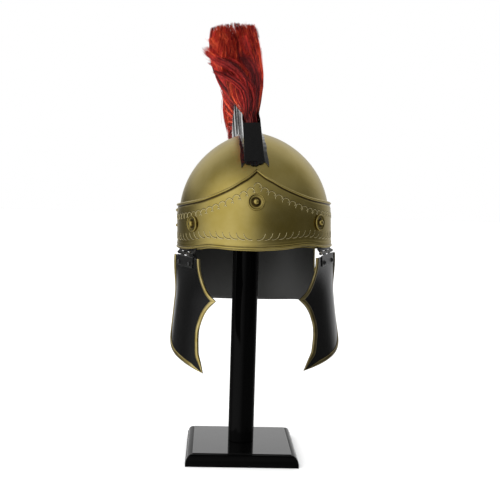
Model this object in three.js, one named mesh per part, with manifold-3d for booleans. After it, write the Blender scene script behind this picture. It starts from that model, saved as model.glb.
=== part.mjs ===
// A Roman legionary helmet of the Attic pattern on its plain display stand, in millimetres.
// X is across (the wearer's left is +X), -Y is the way the helmet faces, and +Z is up.
// The origin is the middle of the underside of the stand's base.
import * as THREE from "three";
import { mergeVertices } from "three/addons/utils/BufferGeometryUtils.js";
import Module from "manifold-3d";

const wasm = await Module();
wasm.setup();

// Clearance between pieces that rest on each other
const GAP = 0.3;

// Stand
const BASE_SIDE = 150;
const BASE_THICK = 16;
const BASE_FOOT = 6.4;
const BASE_INSET = 9.4;
const BASE_STEP = 1;
const POST_RADIUS = 17.3;

// Seat of the helmet on the post: the hinge line's height, the shift to the wearer's left, the lean to the right
const SEAT_HEIGHT = 282.5;
const SEAT_SHIFT = 10.9;
const SEAT_LEAN = 2.08;

// Shell: outside half width and half length, heights over the hinge line
const SHELL_HALF_WIDTH = 102;
const SHELL_HALF_LENGTH = 118;
const SHELL_WALL = 1.5;
const SPRING_HEIGHT = 40;
const CROWN_HEIGHT = 159.2;
const DOME_FULLNESS = 2.2;
const DOME_POINT = 0.6;
const BROW_RISE = 11;
const RIM_SHOWS = 1.6;
const NECK_DEPTH = 86;
const NECK_FLARE = 13;
const NECK_SKEW = 3;

// Brow band
const BAND_WALL = 1.05;
const BAND_SIDE_TOP = 64.5;
const BAND_PEAK_RISE = 45;
const BAND_END_ANGLE = 100;
const BEAD_HEIGHT = 1.5;
const BEAD_WIDTH = 3.4;
const BOSS_RADIUS = 10.7;
const STUD_RADIUS = 2.3;

// Crest box and plume
const CREST_FRONT = 88;
const CREST_REAR = 92;
const CREST_RISE = 50;
const CREST_WIDTH = 25.2;
const CREST_TOP_WIDTH = 22.6;
const CREST_WALL = 1.2;
const CREST_SHIFT = -2.3;
const CREST_YAW = 3.2;
const CREST_LEAN = 4;
const FLANGE_WIDTH = 5;
const APRON_DROP = 5.4;
const PLUME_HEIGHT = 147;

// Hinges and cheek guards
const HINGE_OUT = { [-1]: 91.4, [1]: 92.8 };
const HINGE_FORWARD = 52;
const HINGE_TOE = 21;
const HINGE_LENGTH = 60;
const HINGE_LEAF = 0.9;
const LEAF_DEPTH = 17;
const KNUCKLES = 5;
const KNUCKLE_RADIUS = 2.2;
const PIN_RADIUS = 1;
const RIVET_RADIUS = 2.9;
const RIVET_SPACING = 40;
const RIVET_DROP = 12.5;
const GUARD_LENGTH = 147;
const GUARD_REACH = 71;
const GUARD_TOP = 3.8;
const GUARD_WALL = 1.2;
const GUARD_CURVE = 118;
const GUARD_CURVE_DEPTH = 60;
const GUARD_FLARE = 6.6;
const GUARD_CURL = { [-1]: 0, [1]: 13 };
const GUARD_HANG = 1.05;
const TRIM_WIDTH = 5;
const TRIM_WALL = 0.8;

// Lower edges round the shell: angle from the front, share of the brow's rise, share of the neck guard's depth
const RIM = [
  [0, 0.77, 0],
  [18, 0.86, 0],
  [34, 1, 0],
  [50, 0.7, 0],
  [66, 0.48, 0],
  [80, 0.45, 0],
  [112, 0.45, 0],
  [115.5, 0.38, 0],
  [117.5, 0, 0.04],
  [118.7, 0, 0.3],
  [119.6, 0, 0.6],
  [121.4, 0, 0.8],
  [127, 0, 0.91],
  [145, 0, 0.95],
  [163, 0, 0.985],
  [180, 0, 1],
];

// The band: angle from the front, lower edge as a share of the brow's rise, upper edge as a share of the peak's
const BAND = [
  [0, 0.77, 1],
  [3, 0.78, 0.91],
  [7, 0.8, 0.8],
  [12, 0.82, 0.695],
  [17, 0.86, 0.58],
  [22, 0.9, 0.48],
  [30, 0.98, 0.35],
  [36, 1, 0.27],
  [42, 0.9, 0.2],
  [50, 0.7, 0.14],
  [62, 0.5, 0.08],
  [80, 0.45, 0.01],
  [BAND_END_ANGLE, 0.45, 0],
];

// Bosses and studs: name, angle from the front, height as a share of the band's side height
const BOSSES = [
  ["boss_front", -1.1, 1.054],
  ["boss_right", -51.5, 0.62],
  ["boss_left", 50.5, 0.62],
];
const STUDS = [
  ["stud_right_upper", -93, 0.85],
  ["stud_right_lower", -93, 0.53],
  ["stud_left_upper", 93, 0.85],
  ["stud_left_lower", 93, 0.53],
];

// Outline of a cheek guard: share of its reach along the hinge, share of its length below the hinge
const GUARD_FRONT_EDGE = [
  [0.7, GUARD_TOP / GUARD_LENGTH],
  [0.72, 0.116],
  [0.75, 0.18],
  [0.79, 0.25],
  [0.86, 0.318],
  [1, 0.378],
];
const GUARD_MOUTH_EDGE = [
  [1, 0.378],
  [0.876, 0.436],
  [0.786, 0.502],
  [0.73, 0.578],
  [0.705, 0.64],
  [0.71, 0.707],
  [0.73, 0.769],
  [0.76, 0.844],
  [0.827, 0.912],
  [0.9, 1],
];
const GUARD_JAW_EDGE = [
  [-0.606, GUARD_TOP / GUARD_LENGTH],
  [-0.63, 0.13],
  [-0.68, 0.33],
  [-0.7, 0.53],
  [-0.68, 0.64],
  [-0.61, 0.735],
  [-0.48, 0.8],
  [-0.31, 0.844],
  [-0.065, 0.884],
  [0.25, 0.92],
  [0.54, 0.955],
  [0.9, 1],
];

// The plume, front to rear: share along the box, lean back in degrees, shares of its height and of its fullness
const PLUME_FAN = [
  [0.02, -20, 0.7, 0.6],
  [0.12, -17, 0.8, 0.74],
  [0.22, -14, 0.88, 0.85],
  [0.32, -10, 0.94, 0.94],
  [0.42, -4, 0.98, 1],
  [0.52, 3, 1, 1],
  [0.62, 11, 0.99, 1],
  [0.72, 21, 0.96, 0.88],
  [0.81, 34, 0.92, 0.72],
  [0.88, 51, 0.88, 0.56],
  [0.93, 74, 0.86, 0.44],
  [0.965, 100, 0.88, 0.38],
  [0.99, 126, 0.92, 0.34],
];

// Along a lock of hair: share of its length, half thickness and sideways sweep as shares of the plume's height
const PLUME_LOCK = [
  [0, 0.06, 0],
  [0.3, 0.06, 0],
  [0.39, 0.15, -0.03],
  [0.53, 0.22, -0.06],
  [0.75, 0.25, -0.105],
  [0.91, 0.22, -0.105],
  [1, 0.13, -0.13],
];

const radians = THREE.MathUtils.degToRad;
const clamp = THREE.MathUtils.clamp;
const V = (x, y, z) => new THREE.Vector3(x, y, z);

const brass = new THREE.MeshStandardMaterial({ color: 0x9a8448, roughness: 0.42, metalness: 1 });
const darkBrass = new THREE.MeshStandardMaterial({ color: 0x84713c, roughness: 0.45, metalness: 1 });
const blackPaint = new THREE.MeshStandardMaterial({ color: 0x0b0b0c, roughness: 0.25, metalness: 0 });
const blackSteel = new THREE.MeshStandardMaterial({ color: 0x1a1b1c, roughness: 0.35, metalness: 1 });
const redHair = new THREE.MeshStandardMaterial({ color: 0xa81218, roughness: 0.6, metalness: 0 });
const blackWood = new THREE.MeshStandardMaterial({ color: 0x070707, roughness: 0.12, metalness: 0 });

// A smooth value of one column of a table whose first column rises
function read(table, at, column) {
  const last = table.length - 1;
  const i = clamp(table.findIndex((row) => row[0] > at) - 1, -1, last);
  if (at <= table[0][0]) return table[0][column];
  if (i < 0) return table[last][column];
  const [before, from, to, after] = [Math.max(i - 1, 0), i, i + 1, Math.min(i + 2, last)].map((k) => table[k]);
  const span = to[0] - from[0];
  const slopeIn = ((to[column] - before[column]) / (to[0] - before[0])) * span;
  const slopeOut = ((after[column] - from[column]) / (after[0] - from[0])) * span;
  const s = (at - from[0]) / span;
  return (
    from[column] * (2 * s ** 3 - 3 * s ** 2 + 1) +
    slopeIn * (s ** 3 - 2 * s ** 2 + s) +
    to[column] * (3 * s ** 2 - 2 * s ** 3) +
    slopeOut * (s ** 3 - s ** 2)
  );
}

// Splits the steps of a rising list so that none is longer than the given one
function fill(values, longest) {
  const filled = [values[0]];
  for (let i = 1; i < values.length; i++) {
    const steps = Math.max(1, Math.ceil((values[i] - values[i - 1]) / longest - 1e-6));
    for (let k = 1; k <= steps; k++) filled.push(values[i - 1] + ((values[i] - values[i - 1]) * k) / steps);
  }
  return filled;
}

// One closed body from points and triangles: shared points merged, flat triangles dropped, faces outward
function body(points, triangles) {
  const loose = new THREE.BufferGeometry();
  loose.setAttribute("position", new THREE.Float32BufferAttribute(points.flatMap((p) => [p.x, p.y, p.z]), 3));
  loose.setIndex(triangles.flat());
  const geometry = mergeVertices(loose, 1e-3);
  const all = geometry.index.array;
  const kept = [];
  for (let i = 0; i < all.length; i += 3) {
    const [a, b, c] = all.slice(i, i + 3);
    if (a !== b && b !== c && c !== a) kept.push([a, b, c]);
  }
  const at = (i) => new THREE.Vector3().fromBufferAttribute(geometry.attributes.position, i);
  const volume = kept.reduce((sum, [a, b, c]) => sum + at(a).dot(at(b).cross(at(c))), 0);
  geometry.setIndex(kept.flatMap(([a, b, c]) => (volume > 0 ? [a, b, c] : [a, c, b])));
  return geometry;
}

// A sheet of metal or hair between two grids of points, closed along its edges, or round in a ring
function sheet(outside, inside, ring = false) {
  const rows = outside.length;
  const columns = outside[0].length;
  const around = ring ? columns : columns - 1;
  const triangles = [];
  const near = (j, i) => j * columns + (i % columns);
  const far = (j, i) => rows * columns + near(j, i);
  const quad = (a, b, c, d) => triangles.push([a, b, c], [a, c, d]);
  for (let j = 0; j < rows - 1; j++) {
    for (let i = 0; i < around; i++) {
      quad(near(j, i), near(j, i + 1), near(j + 1, i + 1), near(j + 1, i));
      quad(far(j, i), far(j + 1, i), far(j + 1, i + 1), far(j, i + 1));
    }
    if (!ring) {
      quad(near(j, 0), near(j + 1, 0), far(j + 1, 0), far(j, 0));
      quad(near(j, around), far(j, around), far(j + 1, around), near(j + 1, around));
    }
  }
  for (let i = 0; i < around; i++) {
    quad(near(0, i), far(0, i), far(0, i + 1), near(0, i + 1));
    quad(near(rows - 1, i), near(rows - 1, i + 1), far(rows - 1, i + 1), far(rows - 1, i));
  }
  return body([...outside.flat(), ...inside.flat()], triangles);
}

// A bar through closed sections that all have as many points, with flat ends
function bar(sections) {
  const count = sections[0].length;
  const triangles = [];
  for (let k = 0; k < sections.length - 1; k++) {
    for (let i = 0; i < count; i++) {
      const [a, b] = [k * count + i, k * count + ((i + 1) % count)];
      triangles.push([a, b, b + count], [a, b + count, a + count]);
    }
  }
  return { points: sections.flat(), triangles, count };
}

// Closes a bar's ends with the triangles of its section, which is drawn in a plane
function capped(sections, drawn) {
  const { points, triangles, count } = bar(sections);
  const end = (sections.length - 1) * count;
  for (const [a, b, c] of THREE.ShapeUtils.triangulateShape(drawn, [])) {
    triangles.push([a, c, b], [end + a, end + b, end + c]);
  }
  return body(points, triangles);
}

// A turned piece with its axis along Z
function turned(profile, segments) {
  const points = profile.map(([r, h]) => new THREE.Vector2(r, h));
  return new THREE.LatheGeometry(points, segments).rotateX(Math.PI / 2);
}

function toSolid(geometry) {
  const bare = geometry.clone();
  bare.deleteAttribute("normal");
  bare.deleteAttribute("uv");
  const merged = mergeVertices(bare, 1e-3);
  const kept = [];
  for (let i = 0; i < merged.index.count; i += 3) {
    const [a, b, c] = merged.index.array.slice(i, i + 3);
    if (a !== b && b !== c && c !== a) kept.push(a, b, c);
  }
  return new wasm.Manifold(
    new wasm.Mesh({
      numProp: 3,
      vertProperties: new Float32Array(merged.attributes.position.array),
      triVerts: new Uint32Array(kept),
    })
  );
}

// The largest body of a solid as a mesh: a cut can leave crumbs of no volume
function toGeometry(solid) {
  const mesh = solid.decompose().reduce((a, b) => (b.volume() > a.volume() ? b : a)).getMesh();
  const geometry = new THREE.BufferGeometry();
  geometry.setAttribute("position", new THREE.Float32BufferAttribute(mesh.vertProperties, 3));
  geometry.setIndex([...mesh.triVerts]);
  return geometry;
}

const join = (...pieces) => toGeometry(pieces.map(toSolid).reduce((a, b) => a.add(b)));
const cut = (piece, ...tools) => toGeometry(tools.map(toSolid).reduce((a, b) => a.subtract(b), toSolid(piece)));
const common = (a, b) => toGeometry(toSolid(a).intersect(toSolid(b)));

function part(name, geometry, material) {
  geometry.computeVertexNormals();
  const mesh = new THREE.Mesh(geometry, material);
  mesh.name = name;
  return mesh;
}

// Share of the half width that the dome keeps at a height, for a shell grown outward by some millimetres
function domeShare(z, grow) {
  const up = clamp((z - SPRING_HEIGHT) / (CROWN_HEIGHT + grow - SPRING_HEIGHT), 0, 1);
  return (1 - up ** DOME_FULLNESS) ** DOME_POINT;
}

// A point of the shell's outside at an angle from the front and a height over the hinge line
function onShell(angle, z, grow = 0) {
  const t = radians(angle);
  const below = clamp(-z / NECK_DEPTH, 0, 1);
  const flare = NECK_FLARE * below ** 2 * (0.5 - 0.5 * Math.cos(t));
  const share = domeShare(z, grow);
  const x = (SHELL_HALF_WIDTH + grow + flare) * share * Math.sin(t);
  const y = -(SHELL_HALF_LENGTH + grow + flare) * share * Math.cos(t);
  return V(x, y, z - (NECK_SKEW * below * x) / SHELL_HALF_WIDTH);
}

// Height of the dome's outside over a point of the plan
function domeHeight(x, y, grow = 0) {
  const share = Math.hypot(x / (SHELL_HALF_WIDTH + grow), y / (SHELL_HALF_LENGTH + grow));
  const up = Math.max(0, 1 - share ** (1 / DOME_POINT)) ** (1 / DOME_FULLNESS);
  return SPRING_HEIGHT + (CROWN_HEIGHT + grow - SPRING_HEIGHT) * up;
}

// Turns a piece made upright at the origin so that it stands on the shell's outside
function standOnShell(object, angle, z, grow) {
  const here = onShell(angle, z, grow);
  const across = onShell(angle + 0.5, z, grow).sub(onShell(angle - 0.5, z, grow)).normalize();
  const upward = onShell(angle, z + 0.5, grow).sub(onShell(angle, z - 0.5, grow)).normalize();
  const out = across.clone().cross(upward).normalize();
  object.position.copy(here);
  object.quaternion.setFromRotationMatrix(new THREE.Matrix4().makeBasis(across, out.clone().cross(across), out));
  return object;
}

// Stand: a square foot with a quarter round edge, and a turned post cut to the dome's inside
function standBase() {
  const half = BASE_SIDE / 2;
  const top = half - BASE_INSET;
  const roundOut = BASE_INSET - 2 * BASE_STEP;
  const roundUp = BASE_THICK - BASE_FOOT - BASE_STEP;
  const profile = [[0, 0], [half, 0], [half, BASE_FOOT]];
  for (let k = 0; k <= 5; k++) {
    const turn = (k / 5) * (Math.PI / 2);
    profile.push([top + BASE_STEP + roundOut * Math.cos(turn), BASE_FOOT + roundUp * Math.sin(turn)]);
  }
  profile.push([top, BASE_THICK - BASE_STEP], [top, BASE_THICK], [0, BASE_THICK]);
  return turned(profile.map(([r, h]) => [r * Math.SQRT2, h]), 4).rotateZ(Math.PI / 4);
}

// The angles and the dome's levels at which the shell's facets meet
function shellAngles() {
  const half = fill(RIM.map((row) => row[0]), 11.1);
  return [...half, ...half.slice(1, -1).reverse().map((angle) => -angle)];
}

function domeLevels(grow) {
  const rise = CROWN_HEIGHT + grow - SPRING_HEIGHT;
  return Array.from({ length: 9 }, (_, j) => SPRING_HEIGHT + rise * Math.sin((j / 8) * (Math.PI / 2)));
}

// The dome's hollow as a solid plug, for cutting what stands in it
function hollowPlug(grow) {
  const heights = [0, ...domeLevels(grow).slice(0, -1)];
  const angles = shellAngles();
  const rings = heights.map((z) => angles.map((angle) => onShell(angle, z, grow)));
  const { points, triangles } = bar(rings);
  const count = angles.length;
  points.push(V(0, 0, heights[0]), V(0, 0, CROWN_HEIGHT + grow));
  for (let i = 0; i < count; i++) {
    const last = (heights.length - 1) * count;
    triangles.push([(i + 1) % count, i, points.length - 2]);
    triangles.push([last + i, last + ((i + 1) % count), points.length - 1]);
  }
  return body(points, triangles);
}

function standPost(helmet) {
  const foot = BASE_THICK + GAP;
  const height = SEAT_HEIGHT + CROWN_HEIGHT - foot;
  const stick = new THREE.CylinderGeometry(POST_RADIUS, POST_RADIUS, height, 24).rotateX(Math.PI / 2);
  stick.translate(0, 0, foot + height / 2);
  const upper = common(stick, hollowPlug(-SHELL_WALL - GAP).applyMatrix4(helmet.matrixWorld));
  const cutAt = SEAT_HEIGHT + SPRING_HEIGHT;
  const lower = new THREE.CylinderGeometry(POST_RADIUS, POST_RADIUS, cutAt - foot, 24).rotateX(Math.PI / 2);
  return join(upper, lower.translate(0, 0, (foot + cutAt) / 2));
}

// Shell: the dome, open below, running down behind into a flared neck guard
function rimHeight(angle) {
  const turn = Math.abs(angle);
  const brow = read(RIM, turn, 1) * BROW_RISE;
  const neck = read(RIM, turn, 2) * NECK_DEPTH;
  return brow - neck - (turn < 115.5 ? RIM_SHOWS : 0);
}

function shell() {
  const angles = shellAngles();
  const wall = (share, grow) => angles.map((angle) => {
    const rim = rimHeight(angle);
    return onShell(angle, rim + (SPRING_HEIGHT - rim) * share, grow);
  });
  const face = (grow) => [
    ...[0, 0.5].map((share) => wall(share, grow)),
    ...domeLevels(grow).map((z) => angles.map((angle) => onShell(angle, z, grow))),
  ];
  return sheet(face(0), face(-SHELL_WALL), true);
}

// Brow band: brass sheet with a rolled bead along each edge, lying over the hinge leaves
const BAND_INSIDE = HINGE_LEAF + 3 * GAP;
const BAND_OUTSIDE = BAND_INSIDE + BAND_WALL;

function browBand() {
  const half = fill(BAND.map((row) => row[0]), 9.1);
  const angles = [...half.slice(1).reverse().map((angle) => -angle), ...half];
  const low = (angle) => read(BAND, Math.abs(angle), 1) * BROW_RISE;
  const high = (angle) => BAND_SIDE_TOP + read(BAND, Math.abs(angle), 2) * BAND_PEAK_RISE;
  const lowEdge = [[0, 0.3], [0.4, 1], [1, 0]];
  const highEdge = [[-1.9, 0], [-1.3, -0.25], [-0.6, 1], [0, 0.25]];
  const outside = [];
  const inside = [];
  const row = (heightAt, bead, within) => {
    outside.push(angles.map((angle) => onShell(angle, heightAt(angle), BAND_OUTSIDE + bead)));
    inside.push(angles.map((angle) => onShell(angle, heightAt(angle), within)));
  };
  for (const [share, bead] of lowEdge) {
    row((angle) => low(angle) + share * BEAD_WIDTH, bead * BEAD_HEIGHT, BAND_INSIDE);
  }
  for (const share of [0.25, 0.5, 0.75]) {
    row((angle) => THREE.MathUtils.lerp(low(angle) + BEAD_WIDTH, high(angle) - 1.9 * BEAD_WIDTH, share), 0, BAND_INSIDE);
  }
  for (const [share, bead] of highEdge) {
    const within = share < -1 ? BAND_INSIDE : GAP + 0.1;
    row((angle) => high(angle) + share * BEAD_WIDTH, bead * BEAD_HEIGHT, within);
  }
  return sheet(outside, inside);
}

// Boss: a rosette with a raised rim, a dished ring and a nub, as shares of its radius
const BOSS_PROFILE = [
  [0, 0], [0.95, 0], [1, 0.08], [0.96, 0.19], [0.87, 0.22], [0.77, 0.14],
  [0.56, 0.1], [0.4, 0.14], [0.33, 0.25], [0.28, 0.37], [0.15, 0.45], [0, 0.47],
];
const STUD_PROFILE = [[0, 0], [1, 0], [0.92, 0.4], [0.6, 0.75], [0, 0.9]];

const turnedTo = (profile, radius, segments) => turned(profile.map(([r, h]) => [r * radius, h * radius]), segments);

// Crest box: two walls that follow the dome, a panel at each end, and flanges and an apron lying on the dome
const alongCrest = (share) => THREE.MathUtils.lerp(-CREST_FRONT, CREST_REAR, share);
const crestMiddle = (y) => CREST_SHIFT - (y + CREST_FRONT) * Math.tan(radians(CREST_YAW));
const crestTop = (y) => domeHeight(0, y) + CREST_RISE;

// A point of the box: across as a share of its half width, the fore and aft place, the share of its rise
function inCrest(across, y, rise, inset = 0) {
  const halfWidth = THREE.MathUtils.lerp(CREST_WIDTH, CREST_TOP_WIDTH, rise) / 2 - inset;
  const foot = crestMiddle(y) + across * halfWidth;
  const bottom = domeHeight(foot, y, GAP);
  const z = THREE.MathUtils.lerp(bottom, crestTop(y), rise);
  return V(foot - (z - bottom) * Math.tan(radians(CREST_LEAN)), y, z);
}

function crestBox() {
  const stations = Array.from({ length: 17 }, (_, i) => alongCrest(i / 16));
  const rises = [0, 1];
  const wall = (side) => {
    const face = (inset) => rises.map((rise) => stations.map((y) => inCrest(side, y, rise, inset)));
    return sheet(face(0), face(CREST_WALL));
  };
  const panel = (y, inward) => {
    const face = (at) => rises.map((rise) => [-1, 0, 1].map((across) => inCrest(across, at, rise, CREST_WALL / 2)));
    return sheet(face(y), face(y + inward * CREST_WALL));
  };
  const onDome = (x, y, grow) => V(x, y, domeHeight(x, y, grow));
  const flange = (side) => {
    const face = (grow) => [-CREST_WALL / 2, FLANGE_WIDTH].map((out) => stations.map((y, i) => {
      const taper = side < 0 && out > 0 ? Math.max(0.3, 1 - i / 12) : 1;
      const tip = i === 0 && out > 0 ? -5 : 0;
      return onDome(crestMiddle(y) + side * (CREST_WIDTH / 2 + out * taper), y + tip, grow);
    }));
    return sheet(face(GAP + CREST_WALL), face(GAP));
  };
  const apron = () => {
    const across = [-0.86, -0.42, 0, 0.42, 0.86];
    const drop = [0.45, 1, 1, 1, 0.45];
    const face = (grow) => [-CREST_WALL, 1].map((down) => across.map((share, i) => {
      const x = crestMiddle(-CREST_FRONT) + (share * CREST_WIDTH) / 2;
      return onDome(x, -CREST_FRONT - (down < 0 ? down : drop[i] * APRON_DROP), grow);
    }));
    return sheet(face(GAP + CREST_WALL), face(GAP));
  };
  return join(
    wall(-1), wall(1), panel(-CREST_FRONT, 1), panel(CREST_REAR, -1), flange(-1), flange(1), apron()
  );
}

// Plume: a fan of locks side by side, fused along their length and standing in the box
function plume() {
  const clearance = CREST_WALL + 2 * GAP;
  const locks = PLUME_FAN.map(([along, lean, length, full]) => [along, lean, length * 0.985, full * 0.86]);
  const between = (a, b) => a.map((value, i) => (value + b[i]) / 2);
  const columns = PLUME_FAN.flatMap((row, i) => (i ? [between(PLUME_FAN[i - 1], row), locks[i]] : [locks[i]]));
  const face = (side) => PLUME_LOCK.map(([share, thick, sweep]) => columns.map(([along, lean, length, full]) => {
    const y = clamp(alongCrest(along), -CREST_FRONT + clearance, CREST_REAR - clearance);
    const reach = Math.max(0, share - 0.3) / 0.7;
    const away = (length * PLUME_HEIGHT - CREST_RISE) * reach;
    const tilt = radians(lean) * (0.75 + 0.25 * reach);
    const root = inCrest(0, y, 0.04 + 0.99 * Math.min(1, share / 0.3));
    const half = reach > 0 ? thick * PLUME_HEIGHT * full : CREST_TOP_WIDTH / 2 - clearance;
    const swept = reach > 0 ? sweep * PLUME_HEIGHT * full : 0;
    return V(root.x + swept + side * half, root.y + away * Math.sin(tilt), root.z + away * Math.cos(tilt));
  }));
  return sheet(face(1), face(-1));
}

// Cheek guard: a point of the plate, along the hinge line, below it, and out from the plate's middle
function onGuard(side, along, down, out) {
  const toe = radians(HINGE_TOE);
  const forward = V(-side * Math.sin(toe), -Math.cos(toe), 0);
  const outward = V(side * Math.cos(toe), -Math.sin(toe), 0);
  const bend = THREE.MathUtils.smoothstep(down, 0, GUARD_CURVE_DEPTH) / GUARD_CURVE;
  const flare = Math.tan(radians(GUARD_FLARE));
  const face = outward.clone().addScaledVector(forward, bend * along).add(V(0, 0, flare)).normalize();
  const curl = GUARD_CURL[side] * ((down / GUARD_LENGTH) * (Math.max(0, along) / GUARD_REACH)) ** 2;
  return forward.multiplyScalar(along)
    .addScaledVector(outward, flare * down - (bend * along ** 2) / 2 - curl)
    .add(V(0, 0, -down))
    .addScaledVector(face, out);
}

const inMillimetres = (edge) => edge.map(([x, y]) => new THREE.Vector2(x * GUARD_REACH, y * GUARD_LENGTH));

// Points of a guard's edge, evenly spaced, with the direction into the plate at each
function edgeOf(table, step, inward) {
  const curve = new THREE.SplineCurve(inMillimetres(table));
  const count = Math.round(curve.getLength() / step);
  return Array.from({ length: count + 1 }, (_, i) => {
    const tangent = curve.getTangentAt(i / count);
    return { point: curve.getPointAt(i / count), inward: new THREE.Vector2(-tangent.y, tangent.x).multiplyScalar(inward) };
  });
}

// The plate: a curved sheet cut to the guard's outline and set back inside its trim
function guardPlate(side, edges) {
  const alongs = Array.from({ length: 14 }, (_, i) => THREE.MathUtils.lerp(-0.75, 1.05, i / 13) * GUARD_REACH);
  const downs = fill([GUARD_TOP + 0.5, GUARD_CURVE_DEPTH, GUARD_LENGTH + 2], 12.2);
  const face = (out) => downs.map((down) => alongs.map((along) => onGuard(side, along, down, out)));
  const slab = sheet(face(GUARD_WALL / 2), face(-GUARD_WALL / 2));
  const [front, mouth, jaw] = edges.map((edge) => edge.map(({ point }) => point));
  const outline = [...front, ...mouth.slice(1), ...jaw.slice(0, -1).reverse()];
  const block = capped([-30, 30].map((out) => outline.map((p) => onGuard(side, p.x, p.y, out))), outline);
  return cut(common(slab, block), ...edges.map((edge) => strip(side, edge, RIM_ROOM)));
}

// Trim: a folded brass channel over the plate's edge, drawn as inward and outward places
const CHANNEL_REST = GUARD_WALL / 2 + GAP + 0.1;
const CHANNEL = [
  [TRIM_WIDTH, CHANNEL_REST], [TRIM_WIDTH * 0.6, CHANNEL_REST + 1.1],
  [TRIM_WIDTH * 0.12, CHANNEL_REST + TRIM_WALL], [0, 0], [TRIM_WIDTH * 0.12, -CHANNEL_REST - TRIM_WALL],
  [TRIM_WIDTH * 0.8, -CHANNEL_REST - TRIM_WALL], [TRIM_WIDTH * 0.8, -CHANNEL_REST],
  [TRIM_WALL, -CHANNEL_REST], [TRIM_WALL, CHANNEL_REST],
].map(([inward, out]) => new THREE.Vector2(inward, out));
const CHANNEL_CLEARANCE = [
  [TRIM_WIDTH + GAP, -3], [TRIM_WIDTH + GAP, 3], [-2, 3], [-2, -3],
].map(([inward, out]) => new THREE.Vector2(inward, out));

const RIM_ROOM = [
  [TRIM_WALL + GAP, -3], [TRIM_WALL + GAP, 3], [-6, 3], [-6, -3],
].map(([inward, out]) => new THREE.Vector2(inward, out));

function strip(side, edge, drawn) {
  return capped(edge.map(({ point, inward }) => drawn.map((p) => {
    const at = point.clone().addScaledVector(inward, p.x);
    return onGuard(side, at.x, at.y, p.y);
  })), drawn);
}

// Hinge: knuckles in turn on the upper and the lower leaf, round one pin
function knuckle(side, index, grow, endGap) {
  const each = HINGE_LENGTH / KNUCKLES;
  const length = each - endGap;
  const barrel = new THREE.CylinderGeometry(KNUCKLE_RADIUS + grow, KNUCKLE_RADIUS + grow, length, 8);
  const middle = (index - (KNUCKLES - 1) / 2) * each;
  return barrel.translate(0, -middle, 0).rotateZ(-side * radians(HINGE_TOE));
}

function pinBar(side, radius, length) {
  return new THREE.CylinderGeometry(radius, radius, length, 8).rotateZ(-side * radians(HINGE_TOE));
}

function hingeLeaf(side, upper) {
  const mine = (index) => (index % 2 === 0) === upper;
  const indexes = Array.from({ length: KNUCKLES }, (_, i) => i);
  const alongs = Array.from({ length: 7 }, (_, i) => THREE.MathUtils.lerp(-HINGE_LENGTH, HINGE_LENGTH, i / 6) / 2);
  const hinge = V(side * HINGE_OUT[side], -HINGE_FORWARD, 0);
  const start = KNUCKLE_RADIUS * 0.6;
  const bent = KNUCKLE_RADIUS * 2;
  const upperAt = (along, up, out) => {
    const line = onGuard(side, along, 0, 0).add(hinge);
    const angle = (Math.atan2(line.x / SHELL_HALF_WIDTH, -line.y / SHELL_HALF_LENGTH) * 180) / Math.PI;
    const seat = onShell(angle, up, GAP + HINGE_LEAF / 2 + out).sub(hinge);
    const plain = onGuard(side, along, 0, out).setZ(up);
    return plain.lerp(seat, clamp((up - start) / (bent - start), 0, 1));
  };
  const lowerAt = (along, down, out) => {
    const seat = onGuard(side, along, down, GUARD_WALL / 2 + GAP + HINGE_LEAF / 2 + out);
    const plain = onGuard(side, along, 0, out).setZ(-down);
    return plain.lerp(seat, clamp((down - start) / (GUARD_TOP - 0.4 - start), 0, 1));
  };
  const levels = upper ? [start, bent, LEAF_DEPTH] : [start, GUARD_TOP - 0.4, LEAF_DEPTH * 0.6, LEAF_DEPTH];
  const at = upper ? upperAt : lowerAt;
  const face = (out) => levels.map((level) => alongs.map((along) => at(along, level, out)));
  const leaf = sheet(face(HINGE_LEAF / 2), face(-HINGE_LEAF / 2));
  const others = indexes.filter((index) => !mine(index)).map((index) => knuckle(side, index, GAP, -GAP));
  const barrels = indexes.filter(mine).map((index) => knuckle(side, index, 0, GAP));
  const whole = join(cut(leaf, ...others), ...barrels);
  return cut(whole, pinBar(side, PIN_RADIUS + GAP, HINGE_LENGTH * 1.2));
}

function rivet(side, along) {
  const head = turnedTo(STUD_PROFILE, RIVET_RADIUS, 8);
  const seat = (out) => onGuard(side, along, RIVET_DROP, out);
  const rest = GUARD_WALL / 2 + HINGE_LEAF + 2 * GAP;
  const out = seat(1).sub(seat(0)).normalize();
  head.applyQuaternion(new THREE.Quaternion().setFromUnitVectors(V(0, 0, 1), out));
  return head.translate(...seat(rest).toArray());
}

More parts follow.
